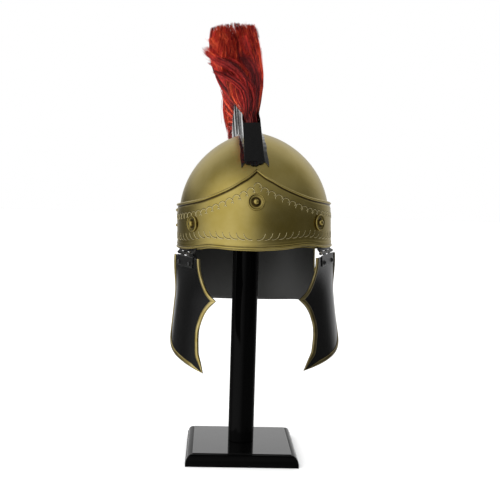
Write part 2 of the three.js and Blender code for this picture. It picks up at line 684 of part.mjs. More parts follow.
// One side's cheek guard, hanging a little nearer to plumb than the helmet, which leans
function cheek(side, name) {
  const fixed = new THREE.Group();
  fixed.position.set(side * HINGE_OUT[side], -HINGE_FORWARD, 0);
  fixed.add(part(`hinge_upper_${name}`, hingeLeaf(side, true), blackSteel));
  fixed.add(part(`hinge_pin_${name}`, pinBar(side, PIN_RADIUS, HINGE_LENGTH + 1), blackSteel));
  const hanging = new THREE.Group();
  const axis = onGuard(side, 1, 0, 0).sub(onGuard(side, 0, 0, 0)).normalize();
  hanging.quaternion.setFromAxisAngle(axis, -radians(GUARD_HANG));
  const front = edgeOf(GUARD_FRONT_EDGE, 6.5, 1);
  const mouth = edgeOf(GUARD_MOUTH_EDGE, 7.5, 1);
  const jaw = edgeOf(GUARD_JAW_EDGE, 10, -1);
  const frontRoom = strip(side, front, CHANNEL_CLEARANCE);
  const mouthRoom = strip(side, mouth, CHANNEL_CLEARANCE);
  const mouthStrip = cut(strip(side, mouth.slice(1), CHANNEL), frontRoom);
  hanging.add(part(`hinge_lower_${name}`, hingeLeaf(side, false), blackSteel));
  hanging.add(part(`rivet_front_${name}`, rivet(side, RIVET_SPACING / 2), blackSteel));
  hanging.add(part(`rivet_rear_${name}`, rivet(side, -RIVET_SPACING / 2), blackSteel));
  hanging.add(part(`cheek_guard_${name}`, guardPlate(side, [front, mouth, jaw]), blackPaint));
  hanging.add(part(`trim_front_${name}`, strip(side, front, CHANNEL), darkBrass));
  hanging.add(part(`trim_mouth_${name}`, mouthStrip, darkBrass));
  hanging.add(part(`trim_jaw_${name}`, cut(strip(side, jaw.slice(0, -1), CHANNEL), mouthRoom), darkBrass));
  fixed.add(hanging);
  return fixed;
}

const helmet = new THREE.Group();
helmet.position.set(SEAT_SHIFT, 0, SEAT_HEIGHT);
helmet.rotation.y = -radians(SEAT_LEAN);
helmet.updateMatrixWorld(true);

helmet.add(part("shell", shell(), brass));
helmet.add(part("brow_band", browBand(), brass));
for (const [name, angle, height] of BOSSES) {
  const boss = part(name, turnedTo(BOSS_PROFILE, BOSS_RADIUS, 12), brass);
  helmet.add(standOnShell(boss, angle, height * BAND_SIDE_TOP, BAND_OUTSIDE + GAP));
}
for (const [name, angle, height] of STUDS) {
  const stud = part(name, turnedTo(STUD_PROFILE, STUD_RADIUS, 8), brass);
  helmet.add(standOnShell(stud, angle, height * BAND_SIDE_TOP, BAND_OUTSIDE + GAP));
}
helmet.add(part("crest_box", crestBox(), blackPaint));
helmet.add(part("plume", plume(), redHair));
helmet.add(cheek(-1, "right"));
helmet.add(cheek(1, "left"));

const model = new THREE.Group();
model.add(part("stand_base", standBase(), blackWood));
model.add(part("stand_post", standPost(helmet), blackWood));
model.add(helmet);

export default model;
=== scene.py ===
import math
import random

import bmesh
import bpy
from mathutils import Matrix, Vector


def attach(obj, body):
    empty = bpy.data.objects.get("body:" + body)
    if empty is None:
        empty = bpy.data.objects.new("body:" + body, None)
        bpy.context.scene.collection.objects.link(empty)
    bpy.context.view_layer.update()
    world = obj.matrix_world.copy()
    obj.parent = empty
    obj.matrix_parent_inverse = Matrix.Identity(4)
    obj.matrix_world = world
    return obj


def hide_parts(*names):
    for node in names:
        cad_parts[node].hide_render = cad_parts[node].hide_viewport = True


# The view. A long lens looks from about the height of the brow, a little to the helmet's right, and the
# camera is held slightly askew.
CAMERA_LENS = 64.2
CAMERA_DISTANCE = 1.221
CAMERA_HEIGHT = 0.377
CAMERA_AZIMUTH = math.radians(-2.21)
CAMERA_HEADING = math.radians(-2.46)
CAMERA_PITCH = math.radians(4.47)
CAMERA_ROLL = math.radians(1.69)


def put_in_scene(name, data):
    made = bpy.data.objects.new(name, data)
    bpy.context.scene.collection.objects.link(made)
    return made


camera = put_in_scene("camera", bpy.data.cameras.new("camera"))
camera.data.sensor_width = 36
camera.data.lens = CAMERA_LENS
camera.matrix_world = (
    Matrix.Translation((
        CAMERA_DISTANCE * math.sin(CAMERA_AZIMUTH),
        -CAMERA_DISTANCE * math.cos(CAMERA_AZIMUTH),
        CAMERA_HEIGHT,
    ))
    @ Matrix.Rotation(CAMERA_HEADING, 4, "Z")
    @ Matrix.Rotation(math.radians(90) - CAMERA_PITCH, 4, "X")
    @ Matrix.Rotation(CAMERA_ROLL, 4, "Z")
)
bpy.context.scene.camera = camera

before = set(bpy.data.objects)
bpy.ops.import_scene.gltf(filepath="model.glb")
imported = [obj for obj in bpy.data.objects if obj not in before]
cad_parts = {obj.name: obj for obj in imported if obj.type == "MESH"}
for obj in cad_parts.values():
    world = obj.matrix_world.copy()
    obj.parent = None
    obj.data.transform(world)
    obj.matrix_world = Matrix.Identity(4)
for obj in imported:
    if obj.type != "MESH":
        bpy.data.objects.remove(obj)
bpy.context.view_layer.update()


# The studio. A pale floor and a white backdrop under even light from above and a weak fill light. The brass
# and the black paint mirror a dim room, with the backdrop behind and a wide screen off the right cheek.
class Value:
    """A shader value: sums and products of it add Math nodes, and node() adds any other."""

    def __init__(self, tree, socket):
        self.tree = tree
        self.socket = socket

    def node(self, kind, settings=None, sockets=None, out=0):
        made = self.tree.nodes.new(kind)
        for name, setting in (settings or {}).items():
            if name == "stops":
                for stop, (place, colour) in enumerate(setting):
                    if stop > 1:
                        made.color_ramp.elements.new(place)
                    made.color_ramp.elements[stop].position = place
                    made.color_ramp.elements[stop].color = colour
            else:
                setattr(made, name, setting)
        for name, value in (sockets or {}).items():
            if isinstance(value, Value):
                self.tree.links.new(value.socket, made.inputs[name])
            else:
                made.inputs[name].default_value = value
        return Value(self.tree, made.outputs[out])

    def maths(self, operation, *others):
        return self.node("ShaderNodeMath", {"operation": operation}, dict(enumerate((self, *others))))

    def __add__(self, other):
        return self.maths("ADD", other)

    def __sub__(self, other):
        return self.maths("SUBTRACT", other)

    def __mul__(self, other):
        return self.maths("MULTIPLY", other)

    def __rsub__(self, other):
        return (self * -1.0) + other

    __radd__ = __add__
    __rmul__ = __mul__

    def within(self, low, high):
        """This value spread from 0 at low to 1 at high, with soft ends."""
        settings = {"interpolation_type": "SMOOTHSTEP"}
        return self.node("ShaderNodeMapRange", settings, {"Value": self, "From Min": low, "From Max": high})

    def blend(self, first, second):
        """The first colour where this value is 0 and the second where it is 1."""
        return self.node("ShaderNodeMix", {"data_type": "RGBA"}, {0: self, 6: first, 7: second}, out=2)


class Finish:
    """A material with one Principled shader. Its sockets are set or linked by name."""

    def __init__(self, name, **sockets):
        self.material = bpy.data.materials.new(name)
        self.material.use_nodes = True
        self.tree = self.material.node_tree
        self.shader = self.tree.nodes["Principled BSDF"]
        for socket, value in sockets.items():
            self.set(socket.replace("_", " "), value)
        coordinates = self.tree.nodes.new("ShaderNodeTexCoord")
        self.place = Value(self.tree, coordinates.outputs["Object"])
        self.chart = Value(self.tree, coordinates.outputs["UV"])

    def set(self, socket, value):
        if isinstance(value, Value):
            self.tree.links.new(value.socket, self.shader.inputs[socket])
        else:
            self.shader.inputs[socket].default_value = value

    def noise(self, scale, detail=3.0, stretch=(1, 1, 1)):
        """Soft noise from 0 to 1, with so many lumps a metre, longer where stretch is small."""
        drawn = self.place.node("ShaderNodeMapping", None, {"Vector": self.place, "Scale": stretch})
        return drawn.node("ShaderNodeTexNoise", None, {"Vector": drawn, "Scale": scale, "Detail": detail})

    def attribute(self, name):
        """A value stored on the mesh's points."""
        return self.place.node("ShaderNodeAttribute", {"attribute_name": name}, None, out=2)

    def bump(self, height, distance, strength=1.0):
        sockets = {"Height": height, "Distance": distance, "Strength": strength}
        self.set("Normal", self.place.node("ShaderNodeBump", None, sockets))


FILL_PLACE = Vector((-0.9, -1.7, 1.2))
HELMET_MIDDLE = Vector((0.01, 0.0, 0.36))

# Neither light is mirrored, so they brighten what is matt and leave no highlight on metal or gloss
fill = put_in_scene("fill_front", bpy.data.lights.new("fill_front", "AREA"))
fill.data.shape = "SQUARE"
fill.data.size = 1.4
fill.data.energy = 20
fill.visible_glossy = False
fill_turn = (FILL_PLACE - HELMET_MIDDLE).to_track_quat("Z", "Y")
fill.matrix_world = Matrix.Translation(FILL_PLACE) @ fill_turn.to_matrix().to_4x4()
overhead = put_in_scene("overhead", bpy.data.lights.new("overhead", "SUN"))
overhead.data.energy = 2.9
overhead.data.angle = math.radians(150)
overhead.visible_glossy = False

floor_mesh = bmesh.new()
bmesh.ops.create_grid(floor_mesh, x_segments=1, y_segments=1, size=8)
floor = put_in_scene("floor", bpy.data.meshes.new("floor"))
floor_mesh.to_mesh(floor.data)
floor_mesh.free()
floor.data.materials.append(Finish("pale floor", Base_Color=(0.9, 0.9, 0.9, 1), Roughness=0.9).material)
floor.visible_glossy = False

# What the room gives by direction: the backdrop, its sides, the pale floor, the ceiling and the screen
ROOM = 0.1
BACKDROP = 0.73
CEILING = 0.24
SCREEN = 1.02
SCREEN_HEADING = math.radians(-50)
sky = bpy.data.worlds.new("studio")
sky.use_nodes = True
background = sky.node_tree.nodes["Background"]
direction = Value(sky.node_tree, sky.node_tree.nodes.new("ShaderNodeTexCoord").outputs["Generated"])
sideways, rearward, upward = (
    direction.node("ShaderNodeSeparateXYZ", None, {"Vector": direction}, out=axis) for axis in range(3)
)
level = 1.0 - upward.within(0.1, 0.35)
behind = rearward.within(0.2, 0.8) * upward.within(0.06, 0.35) + rearward.within(0.86, 1.0) * level * 1.3
facing = sideways * math.sin(SCREEN_HEADING) - rearward * math.cos(SCREEN_HEADING) + upward * 0.15
lit = (
    behind * (BACKDROP - ROOM)
    + sideways.within(0.15, 0.5) * rearward.within(0.4, 0.85) * level * 0.5
    + (upward * -1.0).within(0.15, 0.7) * 0.5
    + upward.within(0.1, 0.8) * CEILING
    + facing.within(0.42, 1.0) * SCREEN
    + ROOM
)

# The camera itself sees plain white
seen = direction.node("ShaderNodeLightPath")
sky.node_tree.links.new((lit + (1.0 - lit) * seen).socket, background.inputs["Strength"])
background.inputs["Color"].default_value = (1, 1, 1, 1)
bpy.context.scene.world = sky
bpy.context.scene.view_settings.view_transform = "Standard"

# Stand. A square foot of black lacquered wood with a quarter round edge, and a turned post of the same wood
# that runs up inside the helmet to its crown.
FOOT_SIDE = 0.15
FOOT_THICK = 0.016
FOOT_EDGE = 0.0064
FOOT_INSET = 0.0094
FOOT_STEP = 0.001
POST_RADIUS = 0.0177
POST_TOP = 0.4325
CLEARANCE = 0.0003


def spun(profile, steps, turn=0.0):
    """A bmesh turned round Z from a profile of radii and heights that starts and ends on the axis."""
    mesh = bmesh.new()
    x, y = math.cos(turn), math.sin(turn)
    line = [mesh.verts.new((radius * x, radius * y, height)) for radius, height in profile]
    edges = [mesh.edges.new(pair) for pair in zip(line, line[1:])]
    bmesh.ops.spin(
        mesh, geom=line + edges, cent=(0, 0, 0), axis=(0, 0, 1), angle=math.tau, steps=steps, use_merge=True
    )
    bmesh.ops.remove_doubles(mesh, verts=mesh.verts, dist=1e-6)
    bmesh.ops.recalc_face_normals(mesh, faces=mesh.faces)
    return mesh


def piece(name, mesh, body, finishes, replaced, smooth=True):
    """Makes a bmesh a piece of the helmet that rides on a body and stands for the CAD nodes it replaces."""
    made = put_in_scene(name, bpy.data.meshes.new(name))
    mesh.to_mesh(made.data)
    mesh.free()
    for finish in finishes:
        made.data.materials.append(finish.material)
    for face in made.data.polygons:
        face.use_smooth = smooth
    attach(made, body)
    if replaced:
        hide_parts(*replaced)
    return made


def soften(made, width, segments=2, angle=40):
    """Rounds a piece's sharp edges and keeps its flat faces flat."""
    bevel = made.modifiers.new("softened edges", "BEVEL")
    bevel.width = width
    bevel.segments = segments
    bevel.limit_method = "ANGLE"
    bevel.angle_limit = math.radians(angle)
    bevel.harden_normals = True


def black_lacquer(name):
    lacquer = Finish(name, Base_Color=(0.0012, 0.0012, 0.0012, 1), Roughness=0.12)
    lacquer.set("Specular IOR Level", 0.06)
    lacquer.bump(lacquer.noise(55, 2), 0.00012)
    return lacquer


foot_half = FOOT_SIDE / 2
foot_top = foot_half - FOOT_INSET
round_out = FOOT_INSET - 2 * FOOT_STEP
round_up = FOOT_THICK - FOOT_EDGE - FOOT_STEP
foot_profile = [(0, 0), (foot_half, 0), (foot_half, FOOT_EDGE)]
for step in range(9):
    turn = math.radians(90) * step / 8
    foot_profile.append(
        (foot_top + FOOT_STEP + round_out * math.cos(turn), FOOT_EDGE + round_up * math.sin(turn))
    )
foot_profile += [(foot_top, FOOT_THICK - FOOT_STEP), (foot_top, FOOT_THICK), (0, FOOT_THICK)]
foot_mesh = spun([(half * math.sqrt(2), height) for half, height in foot_profile], 4, math.radians(45))
foot_lacquer = black_lacquer("black lacquer of the foot")

# The foot's top has a polished coat that mirrors the backdrop
foot_height = foot_lacquer.place.node("ShaderNodeSeparateXYZ", None, {"Vector": foot_lacquer.place}, out=2)
foot_lacquer.set("Coat Weight", foot_height.within(FOOT_THICK - 0.0009, FOOT_THICK - 0.0001) * 0.9)
foot_lacquer.set("Coat Roughness", 0.05)
foot = piece("foot", foot_mesh, "helmet", [foot_lacquer], ["stand_base"], smooth=False)
soften(foot, 0.0004, 2, 25)

post_foot = FOOT_THICK + CLEARANCE
post_mesh = spun([(0, post_foot), (POST_RADIUS, post_foot), (POST_RADIUS, POST_TOP), (0, POST_TOP)], 96)
post_lacquer = black_lacquer("black lacquer of the post")
post = piece("post", post_mesh, "helmet", [post_lacquer], ["stand_post"])
soften(post, 0.0006)

# Shell. One sheet of thin steel, plated with antique brass outside and painted black inside: an oval dome
# with open ears that runs down behind into a flared guard for the neck. It leans a little on its post.
SEAT = Matrix.Translation((0.0109, 0, 0.2825)) @ Matrix.Rotation(math.radians(-2.08), 4, "Y")
SHELL_HALF_WIDTH = 0.102
SHELL_HALF_LENGTH = 0.118
SHELL_WALL = 0.0015
SPRING_HEIGHT = 0.04
CROWN_HEIGHT = 0.1592
DOME_FULLNESS = 2.2
DOME_POINT = 0.6
BROW_RISE = 0.011
RIM_SHOWS = 0.0016
NECK_DEPTH = 0.086
NECK_FLARE = 0.013
NECK_SKEW = 0.003

# Lower edges round the shell: angle from the front, share of the brow's rise, share of the neck guard's depth
RIM = (
    (0, 0.77, 0),
    (18, 0.86, 0),
    (34, 1, 0),
    (50, 0.7, 0),
    (66, 0.48, 0),
    (80, 0.45, 0),
    (112, 0.45, 0),
    (115.5, 0.38, 0),
    (117.5, 0, 0.04),
    (118.7, 0, 0.3),
    (119.6, 0, 0.6),
    (121.4, 0, 0.8),
    (127, 0, 0.91),
    (145, 0, 0.95),
    (163, 0, 0.985),
    (180, 0, 1),
)


def read(table, at, column):
    """A smooth value of one column of a table whose first column rises."""
    if at <= table[0][0]:
        return table[0][column]
    if at >= table[-1][0]:
        return table[-1][column]
    last = len(table) - 1
    i = next(k for k, row in enumerate(table) if row[0] > at) - 1
    before, start, end, after = (table[k] for k in (max(i - 1, 0), i, i + 1, min(i + 2, last)))
    span = end[0] - start[0]
    slope_in = (end[column] - before[column]) / (end[0] - before[0]) * span
    slope_out = (after[column] - start[column]) / (after[0] - start[0]) * span
    s = (at - start[0]) / span
    return (
        start[column] * (2 * s**3 - 3 * s**2 + 1)
        + slope_in * (s**3 - 2 * s**2 + s)
        + end[column] * (3 * s**2 - 2 * s**3)
        + slope_out * (s**3 - s**2)
    )


def mix(a, b, share):
    return a + (b - a) * share


def clamp(value, low=0.0, high=1.0):
    return max(low, min(high, value))


def dome_share(z, grow):
    """Share of the half width that the dome keeps at a height, for a shell grown outward."""
    up = clamp((z - SPRING_HEIGHT) / (CROWN_HEIGHT + grow - SPRING_HEIGHT))
    return (1 - up**DOME_FULLNESS) ** DOME_POINT


def on_shell(angle, z, grow=0.0):
    """A point of the shell's outside at an angle from the front and a height over the hinge line."""
    turn = math.radians(angle)
    below = clamp(-z / NECK_DEPTH)
    flare = NECK_FLARE * below**2 * (0.5 - 0.5 * math.cos(turn))
    share = dome_share(z, grow)
    x = (SHELL_HALF_WIDTH + grow + flare) * share * math.sin(turn)
    y = -(SHELL_HALF_LENGTH + grow + flare) * share * math.cos(turn)
    return Vector((x, y, z - NECK_SKEW * below * x / SHELL_HALF_WIDTH))


def dome_height(x, y, grow=0.0):
    """Height of the dome's outside over a point of the plan."""
    share = math.hypot(x / (SHELL_HALF_WIDTH + grow), y / (SHELL_HALF_LENGTH + grow))
    up = max(0.0, 1 - share ** (1 / DOME_POINT)) ** (1 / DOME_FULLNESS)
    return SPRING_HEIGHT + (CROWN_HEIGHT + grow - SPRING_HEIGHT) * up


def bent_grid(columns, rows, place, transform):
    """A bmesh grid bent so that its square from 0 to 1 lies at place(u, v), and then put in its seat."""
    mesh = bmesh.new()
    mesh.loops.layers.uv.new("UVMap")
    bmesh.ops.create_grid(mesh, x_segments=columns, y_segments=rows, size=0.5, calc_uvs=True)
    for vert in mesh.verts:
        vert.co = place(vert.co.x + 0.5, vert.co.y + 0.5)
    bmesh.ops.transform(mesh, matrix=transform, verts=mesh.verts)
    return mesh


def thicken(made, thickness, offset=-1.0, inner=0):
    """Gives a sheet its wall. The inner face takes the material that many places further on."""
    wall = made.modifiers.new("wall", "SOLIDIFY")
    wall.thickness = thickness
    wall.offset = offset
    wall.material_offset = inner
    wall.use_even_offset = True


def spread(values, longest):
    """A rising list with steps added so that none is longer than the given one."""
    filled = [values[0]]
    for low, high in zip(values, values[1:]):
        steps = max(1, math.ceil((high - low) / longest - 1e-6))
        filled += [low + (high - low) * k / steps for k in range(1, steps + 1)]
    return filled


def rim_height(angle):
    turn = abs(angle)
    shows = RIM_SHOWS if turn < 115.5 else 0
    return read(RIM, turn, 1) * BROW_RISE - read(RIM, turn, 2) * NECK_DEPTH - shows


BRASS_PALE = (0.48, 0.385, 0.13, 1)
BRASS = (0.39, 0.30, 0.075, 1)
BRASS_PATINA_AND_SHADE = (0.065, 0.045, 0.015, 1)


def antique_brass(name, patina_and_painted_shade):
    """Rubbed brass painted nearly black where the mesh's darkness attribute nears 1: patina in the hollows,
    and painted shade under the beads and rims.
    """
    brass = Finish(name, Metallic=1.0)
    cloud = brass.noise(24, 4)
    fine = brass.noise(260, 3)
    rubbed = cloud.within(0.3, 0.7).blend(BRASS, BRASS_PALE)
    colour = rubbed
    if patina_and_painted_shade:
        patina_shade_mask = brass.attribute("patina_and_painted_shade")
        # Patina and painted shade: hollows, grooves and the undersides of beads are painted nearly black
        colour = (patina_shade_mask + fine * 0.25 - 0.12).within(0.1, 0.9).blend(rubbed, BRASS_PATINA_AND_SHADE)
    brass.set("Base Color", colour)
    brass.set("Roughness", cloud * 0.08 + fine * 0.05 + 0.27)
    brass.bump(brass.noise(900, 2), 0.00002)
    return brass


brass = antique_brass("antique brass", False)
worked_brass = antique_brass("worked antique brass", True)
black_inside = Finish("black paint inside", Base_Color=(0.026, 0.026, 0.024, 1), Roughness=0.42)

half_round = spread([0, 112], 2) + spread([112.5, 121.5], 0.3) + spread([122, 180], 2)
shell_angles = half_round[:-1] + [360 - angle for angle in reversed(half_round)]
SHELL_ROWS = 64
WALL_ROWS = 26


def shell_place(u, v):
    angle = shell_angles[round(u * (len(shell_angles) - 1))]
    row = round(v * SHELL_ROWS)
    turn = angle if angle <= 180 else angle - 360
    if row < WALL_ROWS:
        rim = rim_height(turn)
        return on_shell(turn, mix(rim, SPRING_HEIGHT, row / WALL_ROWS))
    up = math.sin(math.radians(90) * (row - WALL_ROWS) / (SHELL_ROWS - WALL_ROWS))
    return on_shell(turn, mix(SPRING_HEIGHT, CROWN_HEIGHT, up))


shell_mesh = bent_grid(len(shell_angles) - 1, SHELL_ROWS, shell_place, SEAT)
bmesh.ops.remove_doubles(shell_mesh, verts=shell_mesh.verts, dist=1e-5)
bmesh.ops.recalc_face_normals(shell_mesh, faces=shell_mesh.faces)
shell = piece("shell_skin", shell_mesh, "helmet", [brass, black_inside], ["shell"])
thicken(shell, SHELL_WALL, inner=1)

# Brow band. A strip of brass round the front, riveted over the shell and peaked at the middle. A bead is
# rolled along each edge, and chains of arcs are punched along it.
BAND_INSIDE = 0.0018
BAND_WALL = 0.00105
BAND_OUTSIDE = BAND_INSIDE + BAND_WALL
BAND_SIDE_TOP = 0.0645
BAND_PEAK_RISE = 0.045
BAND_END_ANGLE = 100
BEAD_HEIGHT = 0.0015
BEAD_WIDTH = 0.0034

# Along the band: angle from the front, lower edge as a share of the brow's rise, upper edge of the peak's
BAND = (
    (0, 0.77, 1),
    (3, 0.78, 0.91),
    (7, 0.8, 0.8),
    (12, 0.82, 0.695),
    (17, 0.86, 0.58),
    (22, 0.9, 0.48),
    (30, 0.98, 0.35),
    (36, 1, 0.27),
    (42, 0.9, 0.2),
    (50, 0.7, 0.14),
    (62, 0.5, 0.08),
    (80, 0.45, 0.01),
    (BAND_END_ANGLE, 0.45, 0),
)

# Across the band: distance from an edge as a share of the bead's width, height, and how dark it is painted
# there, for patina in the hollows and painted shade beside the beads
LOW_BEAD = (
    (0, 0.1, 0.7),
    (0.25, 0.75, 0.15),
    (0.5, 1, 0),
    (0.8, 0.7, 0.1),
    (1.02, 0.12, 0.8),
    (1.2, 0.2, 0.35),
    (1.6, 0.42, 0),
    (2.1, 0.3, 0),
    (2.6, 0, 0),
)
HIGH_BEAD = (
    (0, -0.7, 0.2),
    (0.12, 0.35, 0),
    (0.35, 0.95, 0),
    (0.65, 1.15, 0),
    (0.9, 0.85, 0.15),
    (1.1, 0.2, 0.8),
    (1.35, -0.25, 0.95),
    (1.7, -0.15, 0.5),
    (2.1, 0.02, 0.05),
    (2.7, 0, 0),
)


def band_low(angle):
    return read(BAND, abs(angle), 1) * BROW_RISE


def band_high(angle):
    return BAND_SIDE_TOP + read(BAND, abs(angle), 2) * BAND_PEAK_RISE


def band_relief(above, below, column):
    """Relief or recess at distances from the band's lower and upper edges."""
    low = read(LOW_BEAD, above / BEAD_WIDTH, column)
    high = read(HIGH_BEAD, below / BEAD_WIDTH, column)
    return low + high


BAND_ROWS = spread([0, 0.14], 0.007) + spread([0.16, 0.8], 0.03) + spread([0.82, 1.0], 0.007)
band_angles = spread([-BAND_END_ANGLE, -12], 1) + spread([-11.5, 11.5], 0.5) + spread([12, BAND_END_ANGLE], 1)


def band_place(u, v):
    angle = band_angles[round(u * (len(band_angles) - 1))]
    low = band_low(angle)
    high = band_high(angle)
    z = mix(low, high, BAND_ROWS[round(v * (len(BAND_ROWS) - 1))])
    return on_shell(angle, z, BAND_OUTSIDE + band_relief(z - low, high - z, 1) * BEAD_HEIGHT)


band_mesh = bent_grid(len(band_angles) - 1, len(BAND_ROWS) - 1, band_place, SEAT)
# How dark each point is painted: patina in the hollows and painted shade beside the beads
patina_shade_layer = band_mesh.verts.layers.float.new("patina_and_painted_shade")
to_helmet = SEAT.inverted()
for vert in band_mesh.verts:
    here = to_helmet @ vert.co
    angle = math.degrees(math.atan2(here.x / SHELL_HALF_WIDTH, -here.y / SHELL_HALF_LENGTH))
    vert[patina_shade_layer] = band_relief(here.z - band_low(angle), band_high(angle) - here.z, 2)
band = piece("band", band_mesh, "helmet", [worked_brass, brass], ["brow_band"])
thicken(band, BAND_WALL, inner=1)


def tubes(name, paths, radius, sides, tips=(1.0, 1.0), tones=()):
    """Wires along lists of points, as thick at their ends as tips says, each with its own material."""
    ring = bpy.data.curves.new("ring", "CURVE")
    corners = ring.splines.new("POLY")
    corners.points.add(sides - 1)
    for k, corner in enumerate(corners.points):
        turn = math.tau * k / sides
        corner.co = (radius * math.cos(turn), radius * math.sin(turn), 0, 1)
    corners.use_cyclic_u = True
    ring_object = put_in_scene("ring", ring)
    wires = bpy.data.curves.new(name, "CURVE")
    wires.dimensions = "3D"
    wires.bevel_mode = "OBJECT"
    wires.bevel_object = ring_object
    wires.use_fill_caps = True
    for slot in range(max(tones, default=0) + 1):
        wires.materials.append(None)
    for number, path in enumerate(paths):
        wire = wires.splines.new("POLY")
        wire.material_index = tones[number] if tones else 0
        wire.points.add(len(path) - 1)
        wire.points.foreach_set("co", [measure for point in path for measure in (*point, 1)])
        radii = [mix(*tips, k / (len(path) - 1)) for k in range(len(path))]
        wire.points.foreach_set("radius", radii)
    wires_object = put_in_scene(name, wires)
    bpy.context.view_layer.update()
    shown = wires_object.evaluated_get(bpy.context.evaluated_depsgraph_get())
    made = bmesh.new()
    flat = bpy.data.meshes.new_from_object(shown)
    made.from_mesh(flat)
    bpy.data.meshes.remove(flat)
    bpy.data.objects.remove(wires_object)
    bpy.data.objects.remove(ring_object)
    bpy.data.curves.remove(wires)
    bpy.data.curves.remove(ring)
    bmesh.ops.remove_doubles(made, verts=made.verts, dist=1e-7)
    return made


ARC_SPACING = 5.05
ARCS_EACH_WAY = 17
UPPER_ARC = 0.0052
UPPER_ARC_DROP = (0.0225, 0.0195)
CURL_SHIFT = 2.3
CURL_DROP = 0.001
LOWER_ARC = 0.0092
LOWER_ARC_RISE = 0.0222
ROUND_BAND = 0.108
CUT_WIRE = 0.00042
LIP_WIRE = 0.0005
LIP_DROP = 0.00095


def band_arc(angle, z, radius, start, end, proud, drop=0.0):
    """An arc worked on the band round a point, from one clock angle to another."""
    points = []
    for k in range(13):
        turn = math.radians(mix(start, end, k / 12))
        around = angle + math.degrees(radius * math.sin(turn) / ROUND_BAND)
        up = z + radius * math.cos(turn) - drop
        low = band_low(around)
        high = band_high(around)
        relief = band_relief(up - low, high - up, 1) * BEAD_HEIGHT
        points.append(SEAT @ on_shell(around, up, BAND_OUTSIDE + relief + proud))
    return points


# The punched arcs are drawn as two thin wires: a dark one, tarnish and painted shade in the cut, and a bright
# one just under it, a painted highlight on the cut's lip
tarnish_and_shade_in_cuts = Finish("tarnish and painted shade in the cuts", Metallic=0.8, Roughness=0.6)
tarnish_and_shade_in_cuts.set("Base Color", tarnish_and_shade_in_cuts.noise(300).blend((0.035, 0.024, 0.008, 1), (0.11, 0.085, 0.035, 1)))
painted_highlight_on_lips = Finish("painted highlight on the lip of the cuts", Metallic=1.0, Roughness=0.34)
painted_highlight_on_lips.set("Base Color", painted_highlight_on_lips.noise(300).blend((0.62, 0.52, 0.24, 1), (0.92, 0.82, 0.48, 1)))

chain_arcs = []
for count in range(-ARCS_EACH_WAY, ARCS_EACH_WAY + 1):
    angle = count * ARC_SPACING
    upper = band_high(angle) - mix(*UPPER_ARC_DROP, clamp(abs(angle) / 20))
    chain_arcs.append((angle, upper, UPPER_ARC, -92, 88))
    chain_arcs.append((angle + CURL_SHIFT, upper - CURL_DROP, UPPER_ARC * 0.3, -80, 100))
    stroke = (168, 264) if angle < 0 else (192, 96)
    chain_arcs.append((angle, band_low(angle) + LOWER_ARC_RISE, LOWER_ARC, *stroke))
for name, finish, wire, proud, drop in (
    ("band_cuts", tarnish_and_shade_in_cuts, CUT_WIRE, -CUT_WIRE * 0.5, 0.0),
    ("band_lips", painted_highlight_on_lips, LIP_WIRE, -LIP_WIRE * 0.2, LIP_DROP),
):
    arcs = tubes(name, [band_arc(*arc, proud, drop) for arc in chain_arcs], wire, 6, (1.0, 0.8))
    piece(name, arcs, "helmet", [finish], [])

# Bosses and studs. Three rosettes are riveted to the band, each a raised rim, a fluted dish and a ball.
# Two small studs close the band at each end.
BOSS_RADIUS = 0.0107
STUD_RADIUS = 0.0023
FLUTES = 40
FLUTE_FROM = 0.45
FLUTE_TO = 0.83
FLUTE_DEPTH = 0.00022
FLUTE_PATINA_AND_SHADE = 0.45
BOSSES = (
    ("boss_front", -1.1, 1.054),
    ("boss_right", -51.5, 0.62),
    ("boss_left", 50.5, 0.62),
)
STUDS = (
    ("stud_right_upper", -93, 0.85),
    ("stud_right_lower", -93, 0.53),
    ("stud_left_upper", 93, 0.85),
    ("stud_left_lower", 93, 0.53),
)

# A boss from its edge to its middle, as shares of its radius: distance, height, and how dark it is painted,
# for patina in the hollows and painted shade under its rim and round its ball
BOSS = (
    (1.0, 0.0, 0.6),
    (1.0, 0.1, 0.5),
    (0.965, 0.19, 0.05),
    (0.92, 0.22, 0),
    (0.87, 0.205, 0.25),
    (0.84, 0.165, 0.8),
    (0.8, 0.15, 0.3),
    (0.7, 0.165, 0.05),
    (0.6, 0.145, 0.15),
    (0.52, 0.09, 0.7),
    (0.45, 0.06, 1),
    (0.38, 0.12, 1),
    (0.35, 0.2, 0.6),
    (0.345, 0.28, 0.1),
    (0.31, 0.37, 0),
    (0.24, 0.44, 0),
    (0.14, 0.48, 0),
    (0.0, 0.495, 0),
)


def stood_on_shell(angle, z, grow):
    """The place of a piece that stands on the shell's outside, with its axis along Z."""
    here = on_shell(angle, z, grow)
    across = (on_shell(angle + 0.5, z, grow) - on_shell(angle - 0.5, z, grow)).normalized()
    upward = (on_shell(angle, z + 0.0005, grow) - on_shell(angle, z - 0.0005, grow)).normalized()
    out = across.cross(upward).normalized()
    basis = Matrix((across, out.cross(across), out)).transposed()
    return SEAT @ Matrix.Translation(here) @ basis.to_4x4()


def round_head(radius, rise, step, segments):
    """A domed head with a flat underside, rounded in steps of so many degrees."""
    profile = [(0, 0)]
    for degrees in range(0, 91, step):
        turn = math.radians(degrees)
        profile.append((radius * math.cos(turn), radius * rise * math.sin(turn)))
    return spun(profile, segments)


